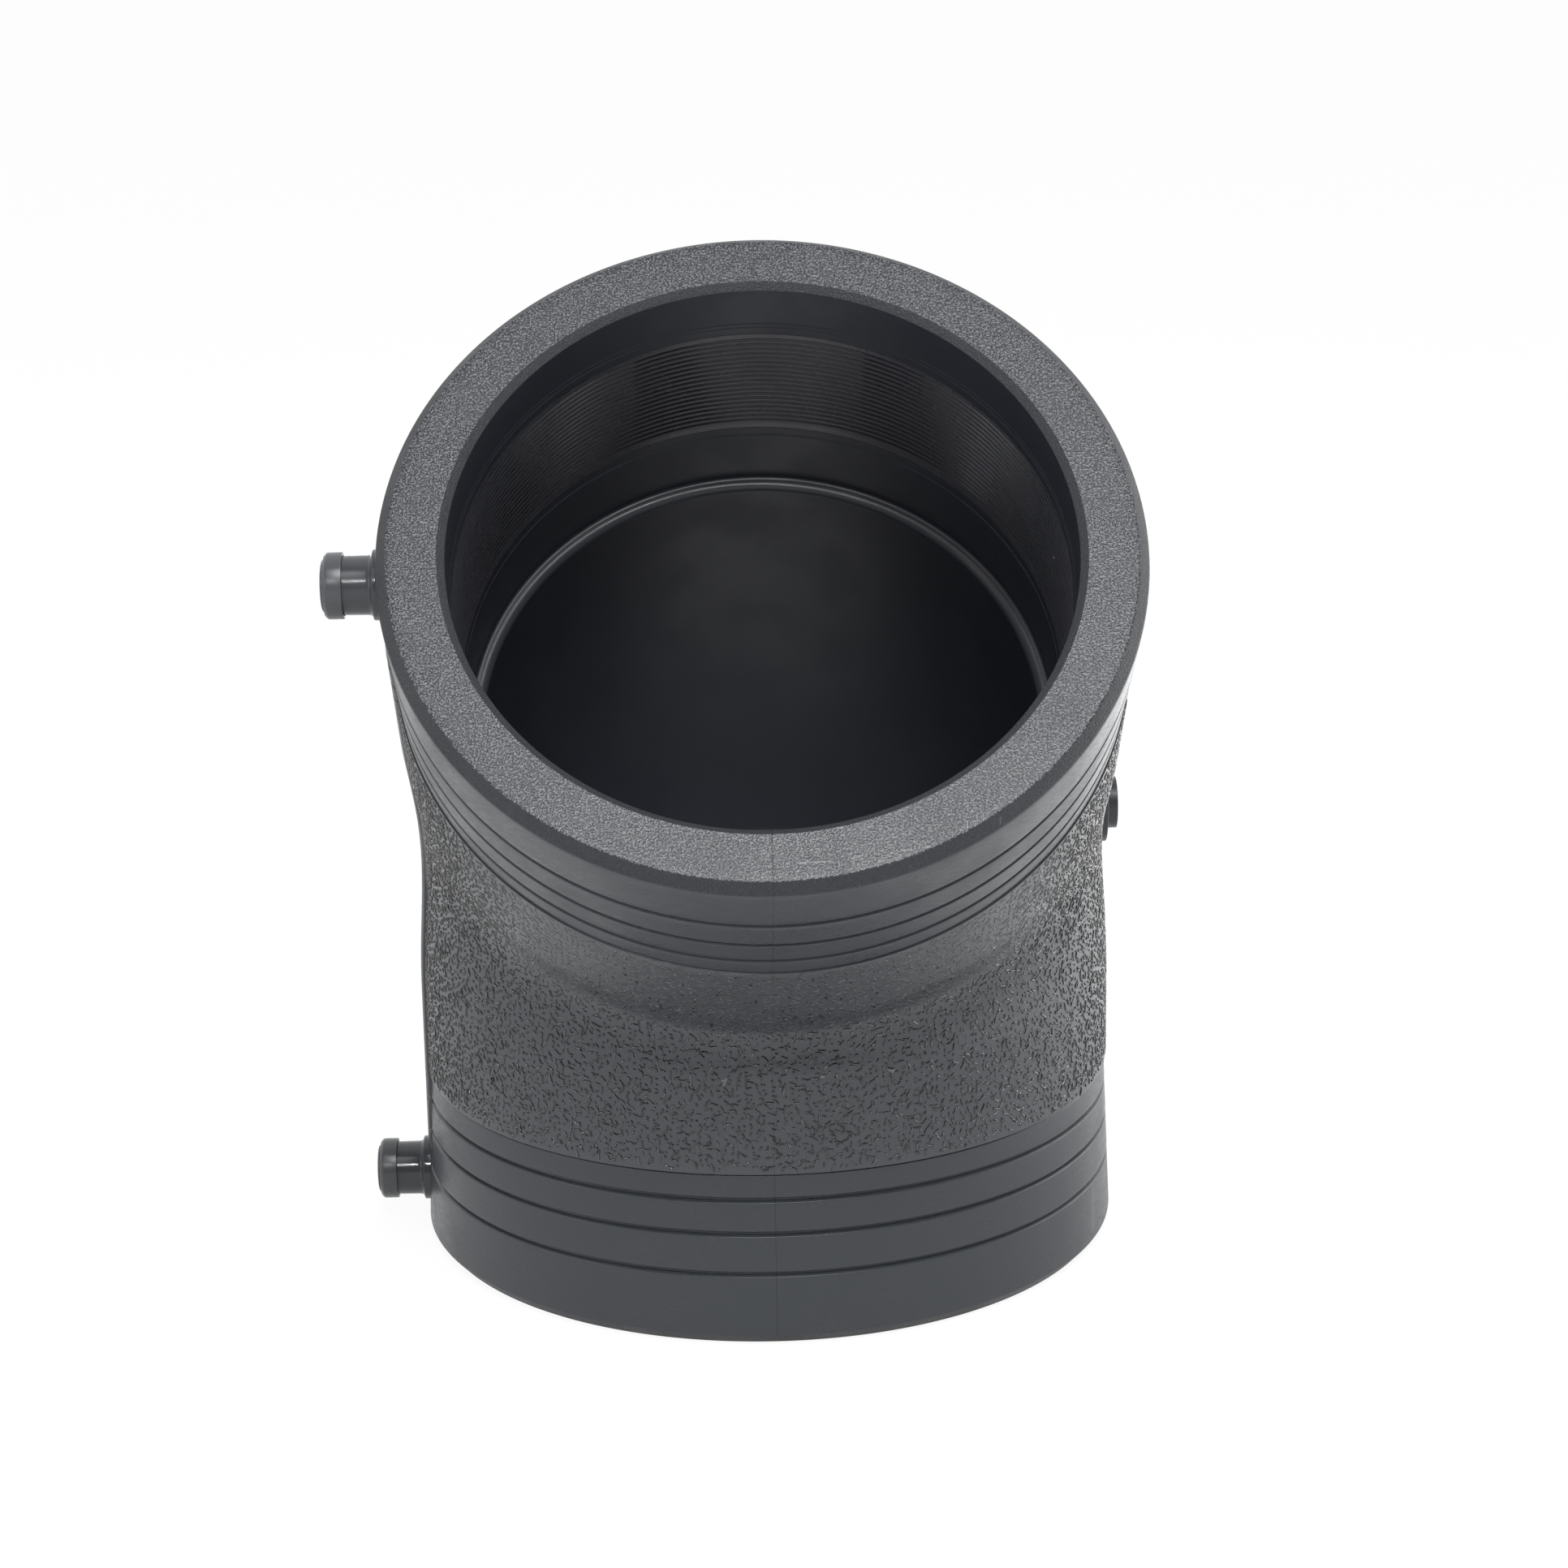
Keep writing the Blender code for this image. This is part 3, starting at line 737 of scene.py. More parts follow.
@dataclass(frozen=True)
class Brass:
    """Plain turned brass of the contact pins.

    Attributes:
        name: Name of the material.
        colour: Base colour.
        roughness: Roughness.
        ring_size: Size of the fine turning marks.
        ring_depth: Depth of the turning marks.
    """

    name: str = "turned_brass"
    colour: tuple[float, float, float] = (0.72, 0.55, 0.24)
    roughness: float = 0.28
    ring_size: float = 0.12 * MM
    ring_depth: float = 0.004 * MM

    def build(self) -> bpy.types.Material:
        """Make the material.

        Returns:
            The material.
        """
        graph = Graph(bpy.data.materials.new(self.name))
        rings = graph.noise(graph.place(), self.ring_size).outputs["Fac"]
        normal = graph.bump(rings, self.ring_depth)
        inputs = {"Base Color": (*self.colour, 1.0), "Roughness": self.roughness}
        inputs |= {"Metallic": 1.0, "Normal": normal}
        graph.dress(graph.tree.nodes["Principled BSDF"], inputs)
        return graph.owner


SCUFF = Mark(
    (0.0982, -0.0076, 0.0174), (0.0981, -0.0088, 0.0065), width=2.4 * MM, shade=0.10
)
RIM_NICK = Mark(
    (0.05516, -0.11759, 0.16064), (0.05468, -0.11997, 0.15825), 0.35 * MM, -0.2 * MM, 0.45
)
FACE_STREAKS = (
    Mark((0.01353, -0.12515, 0.15307), (0.02126, -0.12490, 0.15332), width=0.28 * MM, shade=0.30),
    Mark((0.02603, -0.12443, 0.15379), (0.02962, -0.12395, 0.15428), width=0.24 * MM, shade=0.25),
)
CHAMFER_NICKS = (
    Mark((0.06326, -0.11588, 0.16076), (0.06325, -0.11600, 0.15903), width=0.26 * MM, shade=0.22),
    Mark((0.02803, -0.12687, 0.14777), (0.02809, -0.12640, 0.14690), width=0.26 * MM, shade=0.18),
)
FLECKS = (
    Mark((0.07413, -0.00240, 0.22344), (0.07475, -0.00291, 0.22264), width=0.42 * MM, shade=0.9),
    Mark((0.08535, -0.01716, 0.20306), (0.08559, -0.01934, 0.20391), width=0.38 * MM, shade=0.9),
)
TEXTURE_LAND = Polyethylene(
    "land_polyethylene",
    (0.047, 0.053, 0.062),
    0.32,
    parting=True,
    gloss=0.72,
    ripple=0.14 * MM,
)
SATIN = Polyethylene(
    "satin_polyethylene",
    (0.042, 0.047, 0.055),
    0.34,
    streaks=0.012 * MM,
    parting=True,
    marks=(SCUFF,),
)
GLOSSY = Polyethylene("glossy_polyethylene", (0.046, 0.050, 0.056), 0.17, mottle=0.07)
END_GRAIN = Polyethylene(
    "grained_polyethylene",
    (0.019, 0.022, 0.029),
    0.30,
    grain_size=0.52 * MM,
    grain_depth=0.17 * MM,
    # Pale grain crests on the face: painted highlights.
    crest_glint=0.40,
    parting=True,
    marks=(RIM_NICK, *FACE_STREAKS),
)
CHAMFER_GRAIN = Polyethylene(
    "chamfer_polyethylene",
    (0.022, 0.024, 0.029),
    0.50,
    grain_size=0.50 * MM,
    grain_depth=0.30 * MM,
    # Slightly paler grain crests on the chamfer: painted highlights.
    crest_glint=0.04,
    parting=True,
    marks=CHAMFER_NICKS,
)
# Dash finish: feet darkened to a small share of the colour, painted shade; the lighter crests are
# painted highlights.
DASHES = Polyethylene(
    "dash_polyethylene",
    (0.058, 0.064, 0.073),
    0.15,
    mottle=0.02,
    foot=0.06,
    gloss=1.0,
    coat=0.90,
)
BORE = Polyethylene(
    "bore_polyethylene", (0.028, 0.030, 0.040), 0.44, grain_depth=0.002 * MM, gloss=0.45
)
# Stop ring: a lighter copy of the bore's polyethylene, a painted highlight on the stop shoulder.
STOP_RING = Polyethylene(
    "stop_polyethylene", (0.048, 0.051, 0.060), 0.34, grain_depth=0.002 * MM, gloss=0.6
)
# Wire coat: the valleys between its ribs are darkened, painted shade; the flecks are real specks.
WIRE_COAT = Polyethylene(
    "wire_coat", (0.066, 0.067, 0.078), 0.28, grain_depth=0.001 * MM, foot=0.25, marks=FLECKS
)
CAP_PLASTIC = Polyethylene("cap_plastic", (0.066, 0.071, 0.078), 0.26, grain_depth=0.006 * MM)


@dataclass
class Outside:
    """Outer surface of the moulding with both end faces, bands, grooves, waist and pad.

    Attributes:
        line: Centre line of the outside.
        lead_in_radius: Inner edge of each end face.
        rim_radius: Outer edge of each end face.
        mouth_radius: Radius below the rim chamfer.
        chamfer_height: Height of the rim chamfer.
        band_end: Distance where the smooth band ends.
        band_end_radius: Radius there.
        texture_step: Step up to the dash grain.
        nip: Corners of the fine groove at the foot of that step, each with its distance
            past the band's end, its depth and its rounding, in millimetres.
        grooves: Middle of each marking groove.
        groove_width: Width of a groove at the top.
        groove_floor: Width of its floor over the width at the top.
        groove_depth: Depth of a groove.
        longest_span: Longest span of the profile below the waist.
        shortest_span: Shortest span where the indicator's rows are added.
        waist_steps: Rows from the waist's start to its middle.
        face_end: Distance from a face to which its grain reaches.
        seam: Distance from the chamfer's foot where its grain ends.
        waist_start: Distance where the waist starts.
        waist_radius: Smallest radius, in the middle of the bend.
        pad_face: Distance of the pad face from the axis beside the sockets.
        pad_waist_face: Distance of the pad face in the middle of the bend.
        pad_start: Distance where the pad starts.
        pad_half_width: Half width of the pad.
        pad_corner: Corner radius of the pad.
        pad_rise: Length over which the pad's ends rise.
        pad_rim_places: Millimetres inside the pad's outline.
        pad_rim_heights: Share of the pad's height at each of them.
        indicator: Distance of the fusion indicator.
        indicator_inner: Radius of its pin.
        indicator_outer: Radius of its trench.
        indicator_depth: Depth of its trench.
        indicator_wall: Width over which the trench's walls fall.
        base_columns: Points around, before the pad's own.
        column_gap: Smallest angle between these and the pad's own.
    """

    line: BendLine = OUTSIDE_LINE
    lead_in_radius: float = 83.2 * MM
    rim_radius: float = 96.2 * MM
    mouth_radius: float = 99.0 * MM
    chamfer_height: float = 3.0 * MM
    band_end: float = 48.6 * MM
    band_end_radius: float = 97.2 * MM
    texture_step: float = 0.4 * MM
    nip: tuple[tuple[float, float, float], ...] = (
        (-0.45, 0.0, 0.05),
        (-0.28, 0.12, 0.03),
        (-0.23, 0.42, 0.03),
        (0.0, 0.42, 0.05),
    )
    grooves: tuple[float, ...] = (20.4 * MM, 31.8 * MM, 41.4 * MM)
    groove_width: float = 1.6 * MM
    groove_floor: float = 0.3
    groove_depth: float = 1.2 * MM
    longest_span: float = 2.0 * MM
    shortest_span: float = 0.02 * MM
    waist_steps: int = 17
    face_end: float = 0.12 * MM
    seam: float = 0.2 * MM
    waist_start: float = 74.0 * MM
    waist_radius: float = 95.3 * MM
    pad_face: float = 98.0 * MM
    pad_waist_face: float = 95.9 * MM
    pad_start: float = 20.5 * MM
    pad_half_width: float = 15.0 * MM
    pad_corner: float = 8.0 * MM
    pad_rise: float = 0.5 * MM
    pad_rim_places: tuple[float, ...] = (-0.3, 0.0, 0.1, 0.25, 0.5, 1.2, 2.2, 3.0, 3.4, 4.2)
    pad_rim_heights: tuple[float, ...] = (0.0, 0.0, 0.30, 0.44, 0.53, 0.70, 0.92, 0.985, 1.0, 1.0)
    indicator: float = 33.0 * MM
    indicator_inner: float = 1.9 * MM
    indicator_outer: float = 3.5 * MM
    indicator_depth: float = 3.0 * MM
    indicator_wall: float = 0.4 * MM
    base_columns: int = 280
    column_gap: float = math.radians(0.25)

    @property
    def indicator_grid(self) -> Array:
        """Offsets of the closer rows and columns across a fusion indicator."""
        return np.arange(-4.2, 4.21, 0.42) * MM

    def waist_ease(self, nearer: Array) -> Array:
        """Work out how far the waist has gone in.

        Share = half of (1 - cos(pi t)), where t runs from 0 at its start to 1 in the
        middle of the bend.

        Args:
            nearer: Distance from the nearer face.

        Returns:
            Share, from 0 to 1.
        """
        reach = self.line.length / 2.0 - self.waist_start
        share = np.clip((nearer - self.waist_start) / reach, 0.0, 1.0)
        return 0.5 - 0.5 * np.cos(math.pi * share)

    def band_radius(self, distance: float) -> float:
        """Return the radius of the smooth band, which tapers evenly."""
        share = (distance - self.chamfer_height) / (self.band_end - self.chamfer_height)
        return self.mouth_radius + (self.band_end_radius - self.mouth_radius) * share

    def half_profile(self) -> Array:
        """Work out the profile from the inner edge of a face to the middle of the bend.

        Returns:
            Rows of distance and radius.
        """
        corners = [(0.0, self.lead_in_radius, 0.0), (0.0, self.rim_radius, 0.35 * MM)]
        corners.append((self.chamfer_height, self.mouth_radius, 0.5 * MM))
        half = self.groove_width / 2.0
        floor = self.groove_floor * half
        for middle in self.grooves:
            top = self.band_radius(middle)
            bottom = top - self.groove_depth
            corners.append((middle - half, top, 0.24 * MM))
            corners.append((middle - floor, bottom, 0.15 * MM))
            corners.append((middle + floor, bottom, 0.15 * MM))
            corners.append((middle + half, top, 0.24 * MM))
        end, top = self.band_end, self.band_end_radius
        for past, depth, size in self.nip:
            corners.append((end + past * MM, top - depth * MM, size * MM))
        start = top + self.texture_step
        corners.append((end + 0.12 * MM, start, 0.10 * MM))
        corners.append((self.waist_start, start, 0.0))
        rows = fill_spans(rounded_profile(corners), self.longest_span)
        waist = np.linspace(self.waist_start, self.line.length / 2.0, self.waist_steps)[1:]
        radius = start + (self.waist_radius - start) * self.waist_ease(waist)
        waist_rows = np.stack([waist, radius], axis=-1)
        near = self.indicator_grid + self.indicator
        extra = np.stack([near, np.interp(near, rows[:, 0], rows[:, 1])], axis=-1)
        joined = np.concatenate([rows[1:], extra])
        joined = joined[np.argsort(joined[:, 0], kind="stable")]
        apart = np.append(True, np.diff(joined[:, 0]) > self.shortest_span)
        keep = apart | (joined[:, 0] < 0.001 * MM)
        return np.concatenate([rows[:1], joined[keep], waist_rows])

    def columns(self) -> Array:
        """Work out the angles around, closer together at the pad's edges and indicator.

        Returns:
            Angles, rising.
        """
        base = around(self.base_columns)
        edge = self.pad_half_width - np.array(self.pad_rim_places) * MM
        across = np.concatenate([-edge, edge, self.indicator_grid])
        own = math.pi + np.arcsin(across / self.pad_face)
        clear = np.abs(base[:, None] - own[None, :]).min(axis=1) > self.column_gap
        return np.sort(np.concatenate([base[clear], own]))

    def pad_height(self, nearer: Array, turn: Array, radius: Array) -> tuple[Array, Array]:
        """Work out how the pad and its indicators change the radius.

        On the pad the radius is that of a flat face: face over cos(turn). Its outline
        has rounded corners. Its edge is a low wall and then a broad bevel.

        Args:
            nearer: Distance from the nearer face, one for each row.
            turn: Angle of each column.
            radius: Radius of the plain body.

        Returns:
            The new radius, and 1 on the pad and 0 away from it.
        """
        face = self.pad_face + (self.pad_waist_face - self.pad_face) * self.waist_ease(nearer)
        side = np.abs(radius * np.sin(turn))
        inset = np.clip(self.pad_corner - (nearer - self.pad_start), 0.0, self.pad_corner)
        width = self.pad_half_width - self.pad_corner
        width = width + np.sqrt(self.pad_corner**2 - inset**2)
        facing = np.where(np.cos(turn) < -0.5, 1.0, 0.0)
        within = (width - side) / MM
        cover = np.interp(within, self.pad_rim_places, self.pad_rim_heights) * facing
        cover = cover * smooth_step(nearer - self.pad_start, 0.0, self.pad_rise)
        flat = np.maximum(face / np.maximum(np.abs(np.cos(turn)), 0.5), radius)
        gap = np.hypot(nearer - self.indicator, radius * np.sin(turn))
        inner, outer, wall = self.indicator_inner, self.indicator_outer, self.indicator_wall
        trench = smooth_step(gap, inner, inner + wall) * smooth_step(gap, outer, outer - wall)
        flat = flat - self.indicator_depth * trench
        return radius + (flat - radius) * cover, cover

    def whole_profile(self) -> Array:
        """Return rows of distance and radius from the lower face to the upper face."""
        return mirrored(self.half_profile(), self.line.length)

    def build(self) -> bpy.types.Object:
        """Make the outer surface.

        Returns:
            The object.
        """
        profile = self.whole_profile()
        turn = self.columns()
        distance = profile[:, :1]
        nearer = np.minimum(distance, self.line.length - distance)
        radius = np.repeat(profile[:, 1:], len(turn), axis=1)
        radius, cover = self.pad_height(nearer, turn[None, :], radius)
        grid = self.line.sweep(distance, turn, radius)
        middle = 0.5 * (nearer[:-1, 0] + nearer[1:, 0])
        marks = np.where(middle < self.chamfer_height - self.seam, 2, 0)
        marks[middle < self.face_end] = 1
        marks[middle > self.band_end + 0.3 * self.texture_step] = 3
        marks = np.where(cover[:-1] > 0.02, 0, marks[:, None])
        parts = MeshParts()
        parts.add_grid(grid, marks=marks)
        finishes = [finish.build() for finish in (SATIN, END_GRAIN, CHAMFER_GRAIN, TEXTURE_LAND)]
        return parts.build("body_outside", finishes)


@dataclass
class DashGrain:
    """Raised worm-like dashes that cover the moulding between its smooth bands.

    Attributes:
        outside: Surface that carries them.
        spacing: Mean distance between dashes.
        jitter: Share of the spacing by which a dash may stray.
        shortest: Length of the shortest.
        longest: Length of the longest.
        length_power: Power of the random share, which makes short ones commoner.
        half_width: Half width of a dash.
        height: Height of a dash.
        sink: Depth of its edges below the surface.
        soft_share: Height that is left where the grain is soft, over the full height.
        soft_width: Share by which a soft dash may be wider.
        soft_above: Shares of the length between which it turns soft.
        soft_front: Cosines of the angle from the front between which it turns soft.
        shadiest_crest: Lowest factor on a dash's crest share, where 1 leaves it whole; dashes near
            it take the painted shade of the feet nearly all over.
        margin: Distance kept from the ends of the textured length.
        pad_margin: Distance kept from the pad.
        stations: Number of places where the surface length is summed up.
        bow: Spread of the bow to the side of a dash 2 mm long.
        wave: Spread of its wave to the side.
        along: Stations along a dash, from -1 to 1.
        broad: Share of the half width at each station.
        tall: Share of the height at each station.
        across: Points across a dash, from -1 to 1.
        crown: Share of the height at each point across.
        pieces: Number of pieces that hold the dashes.
        seed: Start of the random numbers.
    """

    outside: Outside = field(default_factory=Outside)
    spacing: float = 1.78 * MM
    jitter: float = 0.38
    shortest: float = 0.7 * MM
    longest: float = 3.0 * MM
    length_power: float = 1.5
    half_width: float = 0.28 * MM
    height: float = 0.35 * MM
    sink: float = 0.03 * MM
    soft_share: float = 0.32
    soft_width: float = 0.35
    soft_above: tuple[float, float] = (0.50, 0.58)
    soft_front: tuple[float, float] = (0.45, 0.88)
    shadiest_crest: float = 0.55
    margin: float = 0.9 * MM
    pad_margin: float = 1.2 * MM
    stations: int = 600
    bow: float = 0.24 * MM
    wave: float = 0.20 * MM
    along: tuple[float, ...] = (-1.0, -0.78, -0.3, 0.3, 0.78, 1.0)
    broad: tuple[float, ...] = (0.4, 0.88, 1.0, 1.0, 0.88, 0.4)
    tall: tuple[float, ...] = (0.0, 0.85, 1.0, 1.0, 0.85, 0.0)
    across: tuple[float, ...] = (-1.0, -0.62, 0.0, 0.62, 1.0)
    crown: tuple[float, ...] = (0.0, 0.74, 1.0, 0.74, 0.0)
    pieces: int = 7
    seed: int = 11

    def stretch(self, distance: Array, turn: Array, radius: Array) -> Array:
        """Work out the length on the surface over the length along the centre line.

        In the bend it is 1 + radius sin(turn) over bend radius, and 1 elsewhere.

        Args:
            distance: Distance from the lower face.
            turn: Angle around.
            radius: Radius there.

        Returns:
            Ratio of the two lengths.
        """
        line = self.outside.line
        inside = (distance > line.straight) & (distance < line.length - line.straight)
        return 1.0 + np.where(inside, radius * np.sin(turn) / line.bend_radius, 0.0)

    def centres(self, random: np.random.Generator) -> tuple[Array, Array]:
        """Place the dashes evenly over the surface.

        Each column of dashes runs along the part, with the surface length summed up
        and cut into equal steps. Every other column is shifted by half a step.

        Args:
            random: Random numbers.

        Returns:
            Distance and angle of each dash.
        """
        outside = self.outside
        start = outside.band_end + outside.texture_step + self.margin
        distance = np.linspace(start, outside.line.length - start, self.stations)
        number = int(round(2.0 * math.pi * outside.band_end_radius / self.spacing))
        turn = around(number)
        order = np.arange(number)[:, None]
        rate = self.stretch(distance, turn[:, None], self.plain_radius(distance))
        step = distance[1] - distance[0]
        length = np.cumsum(rate, axis=1) * step
        length = length - length[:, :1]
        most = int(length.max() / self.spacing) + 1
        target = (np.arange(most) + 0.5 * (order % 2)) * self.spacing
        stray = self.jitter * self.spacing
        target = target + random.uniform(-stray, stray, target.shape)
        held = (target >= 0.0) & (target <= length[:, -1:])
        apart = 2.0 * length.max() * order
        ends = (length + apart).ravel()
        found = np.interp((target + apart)[held], ends, np.tile(distance, number))
        column = np.broadcast_to(turn[:, None], target.shape)[held]
        column = column + random.uniform(-stray, stray, column.shape) / outside.band_end_radius
        return found, column

    def plain_radius(self, distance: Array) -> Array:
        """Work out the radius of the body without its pad.

        Args:
            distance: Distance from the lower face.

        Returns:
            Radius at each distance.
        """
        profile = self.outside.whole_profile()
        keep = profile[:, 0] > self.outside.chamfer_height
        return np.interp(distance, profile[keep, 0], profile[keep, 1])

    def off_pad(self, turn: Array) -> Array:
        """Find the dashes that lie clear of the pad.

        Args:
            turn: Angle of each dash.

        Returns:
            True where a dash lies clear.
        """
        outside = self.outside
        reach = outside.pad_half_width + self.pad_margin
        beside = np.abs(outside.band_end_radius * np.sin(turn)) > reach
        return beside | (np.cos(turn) > 0.0)

    def firmness(self, distance: Array, turn: Array) -> Array:
        """Work out the share of the full height of each dash.

        The grain is soft in front, on the upper side of the crease.

        Args:
            distance: Distance from the lower face.
            turn: Angle around.

        Returns:
            Share, from the soft share to 1.
        """
        share = distance / self.outside.line.length
        above = smooth_step(share, *self.soft_above)
        front = smooth_step(-np.sin(turn), *self.soft_front)
        return 1.0 - (1.0 - self.soft_share) * above * front

    def patches(self) -> Array:
        """Work out the points of every dash.

        A dash runs along its direction with a bow, 1 - t squared, and a wave, sin of
        pi t, to the side, where t runs from -1 to 1. It is widest and tallest in the
        middle, and its ends and edges lie just below the surface.

        Returns:
            Points by dash, station and edge.
        """
        random = np.random.default_rng(self.seed)
        distance, turn = self.centres(random)
        clear = self.off_pad(turn)
        distance, turn = distance[clear][:, None, None], turn[clear][:, None, None]
        shape = distance.shape
        way = random.uniform(0.0, math.pi, shape)
        share = random.uniform(0.0, 1.0, shape) ** self.length_power
        long = (self.shortest + (self.longest - self.shortest) * share) / 2.0
        bow = random.normal(0.0, self.bow, shape) * long / MM
        wave = random.normal(0.0, self.wave, shape) * long / MM
        firm = self.firmness(distance, turn)
        along, broad, tall = (
            np.array(values)[:, None] for values in (self.along, self.broad, self.tall)
        )
        run = long * along
        aside = bow * (1.0 - along**2) + wave * np.sin(math.pi * along)
        wider = 1.0 + self.soft_width - self.soft_width * firm
        aside = aside + np.array(self.across) * broad * self.half_width * wider
        rise = (self.height * firm + self.sink) * tall * np.array(self.crown) - self.sink
        up = run * np.cos(way) - aside * np.sin(way)
        beside = run * np.sin(way) + aside * np.cos(way)
        radius = self.plain_radius(distance)
        place = distance + up / self.stretch(distance, turn, radius)
        angle = turn + beside / radius
        return self.outside.line.sweep(place, angle, self.plain_radius(place) + rise)

    def build(self) -> list[bpy.types.Object]:
        """Make the dashes, shared out over the pieces.

        Returns:
            The objects.
        """
        made = []
        material = DASHES.build()
        patches = self.patches()
        crest = np.outer(self.tall, self.crown).ravel()
        # Painted shade and highlight: a random factor on each dash's crest share paints some
        # dashes dark nearly all over and leaves pale crests on others.
        pale = np.random.default_rng(self.seed + 1).uniform(self.shadiest_crest, 1.0, len(patches))
        groups = zip(np.array_split(patches, self.pieces), np.array_split(pale, self.pieces))
        for number, (group, shades) in enumerate(groups):
            parts = MeshParts()
            parts.add_patches(group)
            crests = (shades[:, None] * crest).ravel()
            piece = parts.build(f"body_dashes_{number + 1}", [material], 180.0, crests)
            made.append(piece)
        return made


@dataclass
class Bore:
    """Inner surface of the moulding: lead-ins, lands, winding recesses, stops, passage.

    Attributes:
        line: Centre line of the passage.
        bore_radius: Radius of the heated zone.
        step: Step between the cold zones and the heated zone.
        lead_in_radius: Radius at the face.
        lead_in_height: Height of the lead-in chamfer.
        mouth_zone: Length of the cold zone at the mouth.
        recess: Start and end of the winding recess.
        recess_radius: Radius of its floor.
        heated_end: Distance where the heated zone ends.
        socket_depth: Distance of the pipe stop.
        passage_radius: Radius of the passage.
        stop_fillet: Fillet below the stop.
        stop_rounding: Rounding of the stop's inner edge.
        seam: Distance from a corner where the finish changes.
        longest_span: Longest span of the profile.
        columns: Points around.
    """

    line: BendLine = PASSAGE_LINE
    bore_radius: float = 80.8 * MM
    step: float = 0.3 * MM
    lead_in_radius: float = 83.2 * MM
    lead_in_height: float = 1.6 * MM
    mouth_zone: float = 17.0 * MM
    recess: tuple[float, float] = (20.6 * MM, 65.3 * MM)
    recess_radius: float = 83.3 * MM
    heated_end: float = 68.5 * MM
    socket_depth: float = 90.0 * MM
    passage_radius: float = 76.7 * MM
    stop_fillet: float = 0.7 * MM
    stop_rounding: float = 1.4 * MM
    seam: float = 0.1 * MM
    longest_span: float = 4.0 * MM
    columns: int = 320

    def half_profile(self) -> Array:
        """Work out the profile from a mouth to the middle of the passage.

        Returns:
            Rows of distance and radius.
        """
        land = self.bore_radius + self.step
        deep = self.bore_radius - self.step
        start, end = self.recess
        stop = self.socket_depth
        corners = [
            (0.0, self.lead_in_radius, 0.0),
            (self.lead_in_height, land, 0.25 * MM),
            (self.mouth_zone - 1.0 * MM, land, 0.15 * MM),
            (self.mouth_zone - 0.7 * MM, land - 0.16 * MM, 0.15 * MM),
            (self.mouth_zone + 0.5 * MM, land - 0.12 * MM, 0.15 * MM),
            (self.mouth_zone + 0.8 * MM, self.bore_radius, 0.15 * MM),
            (start, self.bore_radius, 0.06 * MM),
            (start, self.recess_radius, 0.0),
            (end, self.recess_radius, 0.0),
            (end, self.bore_radius, 0.06 * MM),
            (self.heated_end, self.bore_radius, 0.15 * MM),
            (self.heated_end + 0.3 * MM, deep, 0.15 * MM),
            (stop - 0.4 * MM, deep, self.stop_fillet),
            (stop, deep - self.stop_fillet, 0.3 * MM),
            (stop, self.passage_radius + self.stop_rounding, 0.8 * MM),
            (stop + self.stop_rounding, self.passage_radius, 0.8 * MM),
            (self.line.length / 2.0, self.passage_radius, 0.0),
        ]
        return fill_spans(rounded_profile(corners, steps=5), self.longest_span)

    def build(self) -> bpy.types.Object:
        """Make the inner surface.

        Returns:
            The object.
        """
        profile = mirrored(self.half_profile(), self.line.length)
        middle = 0.5 * (profile[:-1, 0] + profile[1:, 0])
        nearer = np.minimum(middle, self.line.length - middle)
        marks = np.where(nearer < self.lead_in_height - self.seam, 1, 0)
        ring_end = self.socket_depth + self.stop_rounding
        marks[(nearer > self.socket_depth - self.seam) & (nearer < ring_end)] = 2
        parts = MeshParts()
        grid = self.line.sweep(profile[:, :1], around(self.columns), profile[:, 1:])
        parts.add_grid(grid, inwards=True, marks=marks)
        finishes = [finish.build() for finish in (BORE, CHAMFER_GRAIN, STOP_RING)]
        return parts.build("body_bore", finishes)


